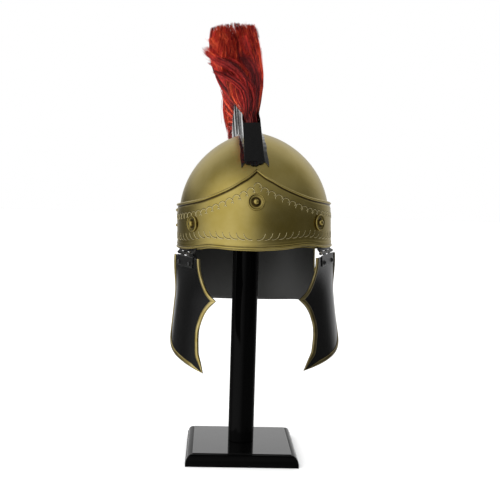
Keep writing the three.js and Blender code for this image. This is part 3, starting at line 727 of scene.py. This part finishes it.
boss_profile = [(distance * BOSS_RADIUS, up * BOSS_RADIUS) for distance, up, dark in BOSS]
boss_rings = sorted((distance, dark) for distance, up, dark in BOSS)
for name, angle, height in BOSSES:
    boss_mesh = spun([(0, 0), *boss_profile], FLUTES * 2)
    # How dark each point is painted: patina and painted shade in the rim's groove, in the flutes and round
    # the ball
    patina_shade_mask = boss_mesh.verts.layers.float.new("patina_and_painted_shade")
    for vert in boss_mesh.verts:
        distance = math.hypot(vert.co.x, vert.co.y) / BOSS_RADIUS
        vert[patina_shade_mask] = read(boss_rings, distance, 1)
        flute = round(math.atan2(vert.co.y, vert.co.x) / math.tau * FLUTES * 2) % 2
        if flute and FLUTE_FROM < distance < FLUTE_TO and vert.co.z > 0:
            vert.co.z -= FLUTE_DEPTH
            vert[patina_shade_mask] += FLUTE_PATINA_AND_SHADE
    place = stood_on_shell(angle, height * BAND_SIDE_TOP, BAND_OUTSIDE + CLEARANCE)
    bmesh.ops.transform(boss_mesh, matrix=place, verts=boss_mesh.verts)
    piece(name + "_rosette", boss_mesh, "helmet", [worked_brass], [name])

for name, angle, height in STUDS:
    stud_mesh = round_head(STUD_RADIUS, 0.9, 15, 20)
    place = stood_on_shell(angle, height * BAND_SIDE_TOP, BAND_OUTSIDE + CLEARANCE)
    bmesh.ops.transform(stud_mesh, matrix=place, verts=stud_mesh.verts)
    piece(name + "_head", stud_mesh, "helmet", [brass], [name])

# Crest box. A narrow trough of black painted steel along the crown, with a panel at each end, flanges
# soldered to the dome and a folded apron in front. It stands a little askew.
CREST_FRONT = 0.088
CREST_REAR = 0.092
CREST_RISE = 0.05
CREST_WIDTH = 0.0252
CREST_TOP_WIDTH = 0.0226
CREST_WALL = 0.0012
CREST_SHIFT = -0.0023
CREST_YAW = 3.2
CREST_LEAN = 4
FLANGE_WIDTH = 0.005
FLANGE_TIP = 0.005
FLANGE_WRINKLE = 0.0006
FLANGE_LIFT = 0.0009
APRON_DROP = 0.0054
WALL_DENT = 0.0009

gloss_black = Finish("gloss black paint", Base_Color=(0.003, 0.003, 0.003, 1), Roughness=0.2)
gloss_black.set("Specular IOR Level", 0.2)
gloss_black.bump(gloss_black.noise(70, 2), 0.0002)
bright_black = Finish("thick black paint", Base_Color=(0.003, 0.003, 0.003, 1), Roughness=0.16)
bright_black.set("Coat Weight", 1.0)
bright_black.set("Coat Roughness", 0.12)


def along_crest(share):
    return mix(-CREST_FRONT, CREST_REAR, share)


def crest_middle(y):
    return CREST_SHIFT - (y + CREST_FRONT) * math.tan(math.radians(CREST_YAW))


def in_crest(across, y, rise, inset=0.0):
    """A point of the box: across as a share of its half width, the place along it, the share of its rise."""
    half_width = mix(CREST_WIDTH, CREST_TOP_WIDTH, rise) / 2 - inset
    foot_x = crest_middle(y) + across * half_width
    bottom = dome_height(foot_x, y, CLEARANCE)
    z = mix(bottom, dome_height(0, y) + CREST_RISE, rise)
    return Vector((foot_x - (z - bottom) * math.tan(math.radians(CREST_LEAN)), y, z))


def faced_sheet(columns, rows, place, transform, outward):
    """A bent grid whose faces look outward, so that its wall goes inside it."""
    mesh = bent_grid(columns, rows, place, transform)
    bmesh.ops.recalc_face_normals(mesh, faces=mesh.faces)
    facing = sum((face.normal * face.calc_area() for face in mesh.faces), Vector())
    if facing.dot(transform.to_3x3() @ Vector(outward)) < 0:
        bmesh.ops.reverse_faces(mesh, faces=mesh.faces)
    return mesh


def flange_place(side):
    """A flange's outline. The right one narrows to the rear, and both run out to a tip in front."""
    def place(u, v):
        y = along_crest(u)
        taper = max(0.3, 1 - u * 16 / 12) if side < 0 else 1
        wrinkle = FLANGE_WRINKLE * math.sin(u * 47 + side) * (1 - u)
        tip = -FLANGE_TIP * v * max(0, 1 - u * 16)
        out = v * (FLANGE_WIDTH + wrinkle) * taper
        x = crest_middle(y) + side * (CREST_WIDTH / 2 + out)
        lift = FLANGE_LIFT * v * math.sin(u * 61) ** 2 * max(0, 1 - u * 1.5)
        return Vector((x, y + tip, dome_height(x, y + tip, CLEARANCE + CREST_WALL) + lift))

    return place


def apron_place(u, v):
    across = mix(-0.9, 0.9, u)
    edge = 0.4 + 0.75 * clamp((0.9 - abs(across)) / 0.9)
    jag = 1 + 0.1 * math.sin(u * 23)
    x = crest_middle(-CREST_FRONT) + across * CREST_WIDTH / 2
    y = -CREST_FRONT + mix(CREST_WALL, -APRON_DROP * edge * jag, v)
    crease = 0.0005 * abs(math.sin(u * 17)) * v
    return Vector((x, y, dome_height(x, y, CLEARANCE + CREST_WALL) + crease))


def wall_place(side):
    """A side wall, uneven from hand work except at its ends."""
    def place(u, v):
        wave = math.sin(u * 43 + v * 2) * math.sin(u * 17) + 0.5 * math.sin(u * 90 - v)
        dent = WALL_DENT * wave * math.sin(math.pi * u) ** 0.5
        return in_crest(side, along_crest(u), v) + Vector((side * dent, 0, 0))

    return place


crest_parts = (
    ("crest_wall_right", 120, 10, wall_place(-1), (-1, 0, 0)),
    ("crest_wall_left", 120, 10, wall_place(1), (1, 0, 0)),
    ("crest_panel_front", 6, 8, lambda u, v: in_crest(mix(-1, 1, u), -CREST_FRONT, v), (0, -1, 0)),
    ("crest_panel_rear", 6, 8, lambda u, v: in_crest(mix(-1, 1, u), CREST_REAR, v), (0, 1, 0)),
    ("crest_flange_right", 72, 4, flange_place(-1), (0, 0, 1)),
    ("crest_flange_left", 72, 4, flange_place(1), (0, 0, 1)),
    ("crest_apron", 24, 6, apron_place, (0, -1, 1)),
)
for name, columns, rows, place, outward in crest_parts:
    replaced = ["crest_box"] if name == "crest_wall_right" else []
    paint = gloss_black if "panel" in name or "apron" in name else bright_black
    sheet_mesh = faced_sheet(columns, rows, place, SEAT, outward)
    sheet = piece(name, sheet_mesh, "helmet", [paint], replaced)
    thicken(sheet, CREST_WALL)
    soften(sheet, 0.00018)

# Plume. Stiff red horsehair, set in the box in tufts from front to rear. It stands up like a fan, is combed
# over to the helmet's right and falls in a tail behind.
PLUME_HEIGHT = 0.147
PLUME_STEM = 0.3
STEM_HALF = CREST_TOP_WIDTH / 2 - CREST_WALL - 2 * CLEARANCE
HAIR_RADIUS = 0.00032
HAIR_POINTS = 9
BODY_TUFTS = 210
BODY_HAIRS = 36
BODY_FILL = 0.84
LOCK_HAIRS = 36
STRAND_HAIRS = 6
EVEN_STEPS = (0.7549, 0.5698)
SHADE_REACH = 0.034

# The plume, front to rear: share along the box, lean back in degrees, shares of its height and fullness
PLUME_FAN = (
    (0.02, -20, 0.7, 0.6),
    (0.12, -17, 0.8, 0.74),
    (0.22, -14, 0.88, 0.85),
    (0.32, -10, 0.94, 0.94),
    (0.42, -4, 0.98, 1),
    (0.52, 3, 1, 1),
    (0.62, 11, 0.99, 1),
    (0.72, 21, 0.96, 0.88),
    (0.81, 34, 0.92, 0.72),
    (0.88, 51, 0.88, 0.56),
    (0.93, 74, 0.86, 0.44),
    (0.965, 100, 0.88, 0.38),
    (0.99, 126, 0.92, 0.34),
)

# Along the hair: share of its length, half thickness and sideways sweep as shares of the plume's height
PLUME_SPREAD = (
    (0.3, 0.065, 0),
    (0.39, 0.15, -0.03),
    (0.53, 0.22, -0.06),
    (0.75, 0.25, -0.105),
    (0.91, 0.24, -0.11),
    (1, 0.2, -0.13),
)
fan_rows = [(number, *row) for number, row in enumerate(PLUME_FAN)]

# Along the hair: share of its length, how much of the half thickness it fills to the right and the left
BODY_EDGES = (
    (0.3, 0.9, 0.95),
    (0.42, 0.76, 0.78),
    (0.6, 0.92, 0.78),
    (0.8, 1, 0.9),
    (1, 1.02, 1.26),
)

# The locks combed over the outside: tufts, half thickness at the root and the tip, tone, share along the box
# of the root, and the way up from the box's edge: sideways, rearward and upward as shares of the height
PLUME_LOCKS = (
    (13, 0.032, 0.05, 3, 0.30, (
        (0.01, -0.16, -0.1), (-0.02, -0.22, 0.1), (-0.12, -0.23, 0.235),
        (-0.26, -0.19, 0.32), (-0.4, -0.12, 0.46),
    )),
    (12, 0.04, 0.06, 1, 0.08, (
        (-0.02, -0.04, -0.05), (-0.01, -0.13, 0.09), (-0.05, -0.16, 0.21),
        (-0.165, -0.15, 0.3), (-0.3, -0.08, 0.38),
    )),
    (12, 0.035, 0.06, 1, 0.13, (
        (0.0, -0.08, -0.1), (0.01, -0.18, 0.07), (-0.03, -0.21, 0.24),
        (-0.15, -0.19, 0.36), (-0.32, -0.1, 0.45),
    )),
    # This lock is hair in painted shade, a dark streak where the locks part
    (11, 0.028, 0.042, 0, 0.2, (
        (0.03, -0.1, -0.13), (0.055, -0.22, 0.03), (0.055, -0.27, 0.16),
        (0.015, -0.27, 0.29), (-0.09, -0.24, 0.42),
    )),
    (9, 0.02, 0.026, 4, 0.2, (
        (0.06, -0.1, -0.13), (0.085, -0.16, 0.03), (0.1, -0.16, 0.17),
        (0.084, -0.12, 0.37), (0.06, -0.05, 0.6),
    )),
    (10, 0.03, 0.05, 2, 0.22, (
        (0.04, -0.11, -0.15), (0.065, -0.19, 0.03), (0.06, -0.2, 0.19),
        (0.01, -0.16, 0.4), (-0.06, -0.08, 0.61),
    )),
    (12, 0.04, 0.07, 4, 0.4, (
        (0.02, -0.03, -0.16), (-0.02, -0.17, 0.07), (-0.1, -0.22, 0.27),
        (-0.2, -0.22, 0.42), (-0.29, -0.18, 0.54),
    )),
    (12, 0.04, 0.07, 2, 0.48, (
        (0.05, 0.01, -0.15), (0.05, -0.13, 0.08), (0.01, -0.19, 0.29),
        (-0.05, -0.2, 0.45), (-0.14, -0.18, 0.6),
    )),
    (10, 0.035, 0.06, 3, 0.52, (
        (0.06, 0.0, -0.15), (0.08, -0.08, 0.09), (0.07, -0.12, 0.31),
        (0.05, -0.14, 0.47), (0.0, -0.14, 0.61),
    )),
    (12, 0.03, 0.03, 3, 0.93, (
        (0.0, 0.11, 0.07), (-0.05, 0.26, 0.28), (-0.12, 0.35, 0.32),
        (-0.125, 0.39, 0.14), (-0.08, 0.37, -0.1),
    )),
    (1, 0.01, 0.022, 2, 0.34, (
        (-0.04, -0.16, -0.03), (-0.13, -0.2, 0.1), (-0.22, -0.2, 0.19),
        (-0.3, -0.17, 0.26), (-0.385, -0.13, 0.33),
    )),
)


def in_plume(fan, across, share, longer=1.0):
    """A point of the plume: front to rear and side to side as shares, and the share of the hair's length."""
    along, lean, length, full = (read(fan_rows, fan * (len(fan_rows) - 1), column) for column in (1, 2, 3, 4))
    y = clamp(along_crest(along), -CREST_FRONT + 0.0018, CREST_REAR - 0.0018)
    reach = max(0.0, share - PLUME_STEM) / (1 - PLUME_STEM)
    away = (length * PLUME_HEIGHT - CREST_RISE) * reach * longer
    tilt = math.radians(lean) * (0.75 + 0.25 * reach)
    root = in_crest(0, y, 0.04 + 0.99 * min(1.0, share / PLUME_STEM))
    opened = clamp(reach / 0.1)
    half = mix(STEM_HALF, read(PLUME_SPREAD, share, 1) * PLUME_HEIGHT * full, opened)
    swept = read(PLUME_SPREAD, share, 2) * PLUME_HEIGHT * full
    return root + Vector((swept + across * half, away * math.sin(tilt), away * math.cos(tilt)))


def horsehair(name, shade, light):
    """Dyed hair, streaked along its length, and painted nearly black as painted shade between the walls of
    the box.
    """
    hair = Finish(name, Roughness=0.45)
    streak = hair.noise(520, 2, (1, 1, 0.1))
    cloud = hair.noise(30, 2)
    dyed = (streak * 0.8 + cloud * 0.4).within(0.4, 0.8).blend(shade, light)
    # Painted shade: the hair is nearly black where it is still down in the box
    hair.set("Base Color", hair.attribute("clear").blend((0.03, 0.002, 0.003, 1), dyed))
    hair.set("Specular IOR Level", 0.3)
    return hair


hair_tones = [
    horsehair("horsehair in shade", (0.04, 0.005, 0.006, 1), (0.13, 0.012, 0.013, 1)),
    horsehair("deep red horsehair", (0.13, 0.009, 0.010, 1), (0.40, 0.026, 0.024, 1)),
    horsehair("red horsehair", (0.26, 0.013, 0.012, 1), (0.62, 0.038, 0.028, 1)),
    horsehair("bright red horsehair", (0.42, 0.022, 0.015, 1), (0.80, 0.062, 0.034, 1)),
    horsehair("sunlit red horsehair", (0.56, 0.040, 0.018, 1), (0.98, 0.15, 0.055, 1)),
]


def mark_painted_root_shade(mesh):
    """Stores how far each point of the hair has come clear of the crest box, from 0 to 1; where this is low
    the hair is painted dark as painted shade.
    """
    clear = mesh.verts.layers.float.new("clear")
    for vert in mesh.verts:
        here = to_helmet @ vert.co
        over = here.z - dome_height(0, min(here.y, CREST_REAR)) - CREST_RISE
        behind = (here.y - CREST_REAR) / 0.012
        vert[clear] = clamp(max(over / SHADE_REACH + 0.12, behind))


chance = random.Random(11)
STRAY = 0.0008
STRAY_SHARE = 0.03
BODY_TONES = (1, 2, 2, 2, 3, 3, 4)
BODY_TONE_STEPS = (-2, -1, -1, 0, 0, 1, 2)
LOCK_TONE_STEPS = (-2, -1, 0, 0, 0, 0, 1, 1)


def near_tone(tone, steps):
    return int(clamp(tone + chance.choice(steps), 0, len(hair_tones) - 1))


def tip_stray(furthest, upright):
    """How far a hair's tip strays, and for a few hairs much further."""
    stray = STRAY if chance.random() > STRAY_SHARE else furthest
    return Vector((chance.gauss(0, stray), chance.gauss(0, stray), chance.gauss(0, stray * upright)))


# The body of the plume: tufts spread evenly through it, each of a few strands that draw together at the tip
coats = [[], [], [], []]
for tuft in range(BODY_TUFTS):
    tuft_fan, tuft_across = (tuft * step % 1 for step in EVEN_STEPS)
    tuft_across = 2 * tuft_across - 1
    tuft_across = math.copysign(abs(tuft_across) ** 0.75, tuft_across) * BODY_FILL
    tuft_tone = chance.choice(BODY_TONES)
    pull = chance.uniform(0.1, 0.4)
    tuft_length = chance.uniform(0.978, 0.995)
    for hair in range(BODY_HAIRS):
        if hair % STRAND_HAIRS == 0:
            strand_fan = tuft_fan + chance.gauss(0, 0.028)
            strand_across = tuft_across + chance.gauss(0, 0.1)
            tone = near_tone(tuft_tone, BODY_TONE_STEPS)
        fan = clamp(strand_fan + chance.gauss(0, 0.004))
        across = clamp(strand_across + chance.gauss(0, 0.015), -BODY_FILL, BODY_FILL)
        cut = 0.08 * clamp(-across) + 0.03 * clamp(across)
        longer = tuft_length * chance.uniform(0.98, 1.01) * (1 - cut)
        bend = tip_stray(0.0032, 0.3)
        path = []
        for k in range(HAIR_POINTS):
            t = k / (HAIR_POINTS - 1)
            gathered = pull * t * t
            here_fan = mix(fan, tuft_fan, gathered)
            share = mix(0.22, 1.0, t)
            fill = read(BODY_EDGES, share, 1 if across < 0 else 2)
            if across < 0:
                fill *= 1 - 0.2 * clamp((here_fan - 0.78) / 0.15)
            here_across = mix(across, tuft_across, gathered) * fill
            path.append(SEAT @ (in_plume(here_fan, here_across, share, longer) + bend * t * t))
        coats[tuft % 2].append((tone, path))

for count, root_half, tip_half, lock_tone, along, way in PLUME_LOCKS:
    y = along_crest(along)
    top = in_crest(0, y, 1.0)
    rows = [(0, 0.0, 0.0, -0.3)] + [(number + 1, *point) for number, point in enumerate(way)]
    for tuft in range(count):
        turn = chance.uniform(0, math.tau)
        side = math.sqrt(chance.random())
        tuft_at = (side * math.cos(turn), side * math.sin(turn))
        tuft_length = chance.uniform(0.9, 1.0)
        for hair in range(LOCK_HAIRS):
            if hair % STRAND_HAIRS == 0:
                strand_at = (tuft_at[0] + chance.gauss(0, 0.22), tuft_at[1] + chance.gauss(0, 0.22))
                strand_length = tuft_length * chance.uniform(0.92, 1.0)
                tone = near_tone(lock_tone, LOCK_TONE_STEPS)
            at = (strand_at[0] + chance.gauss(0, 0.05), strand_at[1] + chance.gauss(0, 0.05))
            longer = strand_length * chance.uniform(0.96, 1.0)
            bend = tip_stray(0.004, 0.5)
            path = []
            for k in range(HAIR_POINTS):
                t = k / (HAIR_POINTS - 1)
                step = t * longer * (len(rows) - 1)
                half = mix(root_half, tip_half, t) * min(1.0, 0.25 + t * 2.2)
                sideways, rearward, upward = (read(rows, step, column) for column in (1, 2, 3))
                spot = Vector((sideways + at[0] * half, rearward + at[1] * half, upward + at[0] * half * 0.4))
                path.append(SEAT @ (top + spot * PLUME_HEIGHT + bend * t * t))
            coats[2 + tuft % 2].append((tone, path))

for coat, hairs in enumerate(coats):
    tones, paths = zip(*hairs)
    hair_mesh = tubes("hair", paths, HAIR_RADIUS, 3, (1.0, 0.4), tones)
    mark_painted_root_shade(hair_mesh)
    replaced = ["plume"] if coat == 0 else []
    piece(f"plume_hair_{coat + 1}", hair_mesh, "helmet", hair_tones, replaced)


def core_place(u, v):
    """A closed sheet of painted shade, in the finish of hair in shade, that fills the middle of the plume."""
    turn = math.tau * u
    return in_plume(0.5 - 0.49 * math.cos(turn), 0.66 * math.sin(turn), mix(0.02, 0.86, v))


core_mesh = bent_grid(60, 24, core_place, SEAT)
bmesh.ops.remove_doubles(core_mesh, verts=core_mesh.verts, dist=1e-5)
bmesh.ops.holes_fill(core_mesh, edges=[edge for edge in core_mesh.edges if edge.is_boundary], sides=0)
bmesh.ops.recalc_face_normals(core_mesh, faces=core_mesh.faces)
mark_painted_root_shade(core_mesh)
piece("plume_core", core_mesh, "helmet", [hair_tones[0]], [])

# Hinges. At each cheek a strip hinge hangs the guard: the upper leaf runs up between the shell and the band,
# the lower leaf lies on the guard under two domed rivets, and their knuckles close round one pin.
HINGE_OUT = {-1: 0.0914, 1: 0.0928}
HINGE_FORWARD = 0.052
HINGE_TOE = math.radians(21)
HINGE_LENGTH = 0.06
HINGE_LEAF = 0.0009
LEAF_DEPTH = 0.017
KNUCKLES = 5
KNUCKLE_RADIUS = 0.0022
RIVET_RADIUS = 0.0029
RIVET_SPACING = 0.04
RIVET_DROP = 0.0125
GUARD_LENGTH = 0.147
GUARD_REACH = 0.071
GUARD_TOP = 0.0038
GUARD_WALL = 0.0012
GUARD_CURVE = 0.118
GUARD_CURVE_DEPTH = 0.06
GUARD_FLARE = math.tan(math.radians(6.6))
GUARD_CURL = {-1: 0, 1: 0.013}
GUARD_HANG = math.radians(1.05)


def smoothstep(value):
    value = clamp(value)
    return value * value * (3 - 2 * value)


def forward_of(side):
    return Vector((-side * math.sin(HINGE_TOE), -math.cos(HINGE_TOE), 0))


def outward_of(side):
    return Vector((side * math.cos(HINGE_TOE), -math.sin(HINGE_TOE), 0))


def on_guard(side, along, down, out):
    """A point of the guard's plate: along the hinge line, below it, and out from the plate's middle."""
    forward = forward_of(side)
    outward = outward_of(side)
    bend = smoothstep(down / GUARD_CURVE_DEPTH) / GUARD_CURVE
    face = (outward + forward * bend * along + Vector((0, 0, GUARD_FLARE))).normalized()
    curl = GUARD_CURL[side] * (down / GUARD_LENGTH * max(0, along) / GUARD_REACH) ** 2
    away = GUARD_FLARE * down - bend * along**2 / 2 - curl
    return forward * along + outward * away + Vector((0, 0, -down)) + face * out


def hinge_seat(side):
    return SEAT @ Matrix.Translation((side * HINGE_OUT[side], -HINGE_FORWARD, 0))


def guard_seat(side):
    return hinge_seat(side) @ Matrix.Rotation(-GUARD_HANG, 4, forward_of(side))


dark_steel = Finish("black painted steel", Metallic=0.3)
rubbing = dark_steel.noise(230, 4)
rubbed = rubbing.within(0.62, 0.76)
dark_steel.set("Base Color", rubbed.blend((0.005, 0.005, 0.005, 1), (0.08, 0.072, 0.06, 1)))
dark_steel.set("Roughness", rubbing * 0.2 + 0.22)
worn_steel = Finish("steel rubbed through its paint", Metallic=0.8)
wearing = worn_steel.noise(260, 4)
worn = wearing.within(0.5, 0.68)
worn_steel.set("Base Color", worn.blend((0.006, 0.006, 0.006, 1), (0.19, 0.17, 0.14, 1)))
worn_steel.set("Roughness", wearing * 0.25 + 0.25)
dark_rivet = Finish("black rivet", Base_Color=(0.006, 0.006, 0.006, 1), Roughness=0.14)
dark_rivet.bump(dark_rivet.noise(400), 0.00005)


def knuckle_bar(mesh, side, index):
    """Adds one knuckle, a short round bar across the hinge line."""
    each = HINGE_LENGTH / KNUCKLES
    middle = (index - (KNUCKLES - 1) / 2) * each
    place = (
        Matrix.Rotation(-side * HINGE_TOE, 4, "Z")
        @ Matrix.Translation((0, -middle, 0))
        @ Matrix.Rotation(math.radians(90), 4, "X")
    )
    bmesh.ops.create_cone(
        mesh, cap_ends=True, segments=20, radius1=KNUCKLE_RADIUS, radius2=KNUCKLE_RADIUS,
        depth=each - CLEARANCE, matrix=place
    )


def hinge_leaf(side, upper):
    """A leaf, shaped round the knuckles. Between its own knuckles the leaf starts clear of the other leaf's.
    """
    start = KNUCKLE_RADIUS * 0.6
    clear = KNUCKLE_RADIUS + 2 * CLEARANCE
    offset = Vector((side * HINGE_OUT[side], -HINGE_FORWARD, 0))

    def place(u, v):
        along = mix(-HINGE_LENGTH, HINGE_LENGTH, u) / 2
        tooth = min(int(u * KNUCKLES), KNUCKLES - 1)
        mine = (tooth % 2 == 0) == upper
        level = mix(start if mine else clear, LEAF_DEPTH, v)
        if upper:
            line = on_guard(side, along, 0, 0) + offset
            angle = math.degrees(math.atan2(line.x / SHELL_HALF_WIDTH, -line.y / SHELL_HALF_LENGTH))
            seat = on_shell(angle, level, CLEARANCE + HINGE_LEAF) - offset
            plain = on_guard(side, along, 0, HINGE_LEAF / 2)
            plain.z = level
            return plain.lerp(seat, clamp((level - start) / (KNUCKLE_RADIUS * 2 - start)))
        seat = on_guard(side, along, level, GUARD_WALL / 2 + CLEARANCE + HINGE_LEAF)
        plain = on_guard(side, along, 0, HINGE_LEAF / 2)
        plain.z = -level
        return plain.lerp(seat, clamp((level - start) / (GUARD_TOP - 0.0004 - start)))

    return place


SIDES = ((-1, "right"), (1, "left"))
for side, name in SIDES:
    guard_body = f"cheek_guard_{name}"
    for level, upper, body, seat in (
        ("upper", True, "helmet", hinge_seat(side)),
        ("lower", False, guard_body, guard_seat(side)),
    ):
        leaf_mesh = faced_sheet(60, 12, hinge_leaf(side, upper), seat, outward_of(side))
        leaf_name = f"hinge_leaf_{level}_{name}"
        leaf = piece(leaf_name, leaf_mesh, body, [dark_steel], [f"hinge_{level}_{name}"])
        thicken(leaf, HINGE_LEAF)
        bars = bmesh.new()
        for index in range(KNUCKLES):
            if (index % 2 == 0) == upper:
                knuckle_bar(bars, side, index)
        bmesh.ops.transform(bars, matrix=seat, verts=bars.verts)
        knuckles = piece(f"hinge_knuckles_{level}_{name}", bars, body, [worn_steel], [])
        soften(knuckles, 0.0002)
    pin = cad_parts[f"hinge_pin_{name}"]
    pin.data.materials.clear()
    pin.data.materials.append(dark_steel.material)
    for end, along in (("front", RIVET_SPACING / 2), ("rear", -RIVET_SPACING / 2)):
        rest = GUARD_WALL / 2 + HINGE_LEAF + 2 * CLEARANCE
        foot_point = on_guard(side, along, RIVET_DROP, rest)
        out = (on_guard(side, along, RIVET_DROP, 0.001) - on_guard(side, along, RIVET_DROP, 0)).normalized()
        rivet_mesh = round_head(RIVET_RADIUS, 0.85, 10, 24)
        turn = Vector((0, 0, 1)).rotation_difference(out).to_matrix().to_4x4()
        place = guard_seat(side) @ Matrix.Translation(foot_point) @ turn
        bmesh.ops.transform(rivet_mesh, matrix=place, verts=rivet_mesh.verts)
        rivet_name = f"rivet_{end}_{name}"
        piece(f"rivet_head_{end}_{name}", rivet_mesh, guard_body, [dark_rivet], [rivet_name])

# Cheek guards. Each is a plate of black painted steel, bent round the jaw, with a point at the cheek bone, a
# hollow at the mouth and a long tip. A folded strip of brass is closed over its edges.
PLATE_START = 0.0005
PLATE_END = 0.0018
PLATE_TAPER = 0.02
EDGE_STEPS = 16
TRIM_WIDTH = 0.005
TRIM_WALL = 0.0008
TRIM_POINT = 0.0004

# Outline of a cheek guard: share of its reach along the hinge, share of its length below the hinge
GUARD_FRONT_EDGE = (
    (0.7, GUARD_TOP / GUARD_LENGTH),
    (0.72, 0.116),
    (0.75, 0.18),
    (0.79, 0.25),
    (0.86, 0.318),
    (1, 0.378),
)
GUARD_MOUTH_EDGE = (
    (1, 0.378),
    (0.876, 0.436),
    (0.786, 0.502),
    (0.73, 0.578),
    (0.705, 0.64),
    (0.71, 0.707),
    (0.73, 0.769),
    (0.76, 0.844),
    (0.827, 0.912),
    (0.9, 1),
)
GUARD_JAW_EDGE = (
    (-0.606, GUARD_TOP / GUARD_LENGTH),
    (-0.63, 0.13),
    (-0.68, 0.33),
    (-0.7, 0.53),
    (-0.68, 0.64),
    (-0.61, 0.735),
    (-0.48, 0.8),
    (-0.31, 0.844),
    (-0.065, 0.884),
    (0.25, 0.92),
    (0.54, 0.955),
    (0.9, 1),
)

# Across the trim: distance in from the plate's edge as a share of the width, height over the plate in walls
TRIM_SECTION = (
    (1.0, 1.25),
    (0.96, 1.75),
    (0.8, 2.3),
    (0.6, 2.6),
    (0.4, 2.55),
    (0.2, 2.3),
    (0.08, 1.9),
    (0.0, 1.0),
    (0.0, -1.0),
    (0.08, -1.9),
    (0.2, -2.25),
    (0.8, -2.25),
    (0.8, -1.25),
    (0.16, -1.25),
    (0.16, 1.25),
)


def edge_line(table, count, inward):
    """Evenly spaced points of a guard's edge, each with the direction into the plate."""
    rows = [(number, x * GUARD_REACH, y * GUARD_LENGTH) for number, (x, y) in enumerate(table)]
    places = [at / EDGE_STEPS for at in range((len(rows) - 1) * EDGE_STEPS + 1)]
    fine = [Vector((read(rows, at, 1), read(rows, at, 2))) for at in places]
    lengths = [0.0]
    for a, b in zip(fine, fine[1:]):
        lengths.append(lengths[-1] + (b - a).length)
    line = []
    for k in range(count + 1):
        target = lengths[-1] * k / count
        i = max(1, next((n for n, length in enumerate(lengths) if length >= target), len(fine) - 1))
        share = (target - lengths[i - 1]) / (lengths[i] - lengths[i - 1])
        tangent = (fine[i] - fine[i - 1]).normalized()
        line.append((fine[i - 1].lerp(fine[i], share), Vector((-tangent.y, tangent.x)) * inward))
    return line


def edge_at(line, down):
    """How far along the hinge line an edge is at a depth."""
    last = len(line) - 1
    i = max(1, next((n for n, (point, inward) in enumerate(line) if point.y >= down), last))
    a = line[i - 1][0]
    b = line[i][0]
    return mix(a.x, b.x, clamp((down - a.y) / (b.y - a.y)))


def guard_place(side):
    front = edge_line(GUARD_FRONT_EDGE, 60, 1)
    mouth = edge_line(GUARD_MOUTH_EDGE, 90, 1)
    jaw = edge_line(GUARD_JAW_EDGE, 160, -1)
    cheek_bone = GUARD_FRONT_EDGE[-1][1] * GUARD_LENGTH

    def place(u, v):
        down = mix(GUARD_TOP + PLATE_START, GUARD_LENGTH - PLATE_END, v)
        inset = TRIM_WIDTH * 0.45 * clamp((GUARD_LENGTH - down) / PLATE_TAPER, 0.1)
        ahead = edge_at(front if down < cheek_bone else mouth, down) - inset
        behind = edge_at(jaw, down - inset * 0.6) + inset * 0.5
        return on_guard(side, mix(behind, max(ahead, behind + 0.001), u), down, GUARD_WALL / 2)

    return place


def trim_strip(side, line, seat, sharp_start, sharp_end):
    """A folded strip along an edge. It narrows towards a sharp point, where it meets the next strip."""
    section = [(x * TRIM_WIDTH, y * TRIM_WALL) for x, y in TRIM_SECTION]
    count = len(section)
    step = (line[1][0] - line[0][0]).length

    def place(u, v):
        number = round(u * (len(line) - 1))
        point, inward = line[number]
        across, out = section[round(v * count) % count]
        ends = ((number * step, sharp_start), ((len(line) - 1 - number) * step, sharp_end))
        room = min(distance * math.tan(math.radians(sharp)) + TRIM_POINT for distance, sharp in ends if sharp)
        narrow = min(1.0, room / TRIM_WIDTH)
        at = point + inward * across * narrow
        return on_guard(side, at.x, at.y, out * mix(0.45, 1, narrow))

    mesh = bent_grid(len(line) - 1, count, place, seat)
    bmesh.ops.remove_doubles(mesh, verts=mesh.verts, dist=1e-6)
    bmesh.ops.holes_fill(mesh, edges=[edge for edge in mesh.edges if edge.is_boundary], sides=0)
    bmesh.ops.recalc_face_normals(mesh, faces=mesh.faces)
    return mesh


def rubbed_trim(name, shade, light):
    trim = Finish(name, Metallic=1.0)
    cloud = trim.noise(60, 4)
    trim.set("Base Color", cloud.within(0.3, 0.7).blend(shade, light))
    trim.set("Roughness", cloud * 0.1 + 0.26)
    return trim


# The trim of the helmet's left guard is painted darker, as painted shade on the side away from the light
trim_finish = {
    -1: rubbed_trim("trim brass", (0.42, 0.32, 0.10, 1), (0.62, 0.51, 0.22, 1)),
    1: rubbed_trim("trim brass darkened by painted shade", (0.15, 0.115, 0.045, 1), (0.27, 0.22, 0.10, 1)),
}

for side, name in SIDES:
    body = f"cheek_guard_{name}"
    seat = guard_seat(side)
    plate_mesh = faced_sheet(36, 90, guard_place(side), seat, outward_of(side))
    plate = piece(f"cheek_plate_{name}", plate_mesh, body, [gloss_black], [body])
    thicken(plate, GUARD_WALL)
    for edge, table, count, inward, sharp_start, sharp_end in (
        ("front", GUARD_FRONT_EDGE, 40, 1, 0, 40),
        ("mouth", GUARD_MOUTH_EDGE, 60, 1, 40, 12),
        ("jaw", GUARD_JAW_EDGE, 110, -1, 0, 12),
    ):
        strip_mesh = trim_strip(side, edge_line(table, count, inward), seat, sharp_start, sharp_end)
        node = f"trim_{edge}_{name}"
        strip_name = f"trim_strip_{edge}_{name}"
        strip = piece(strip_name, strip_mesh, body, [trim_finish[side]], [node])
        soften(strip, 0.00015, 2, 50)
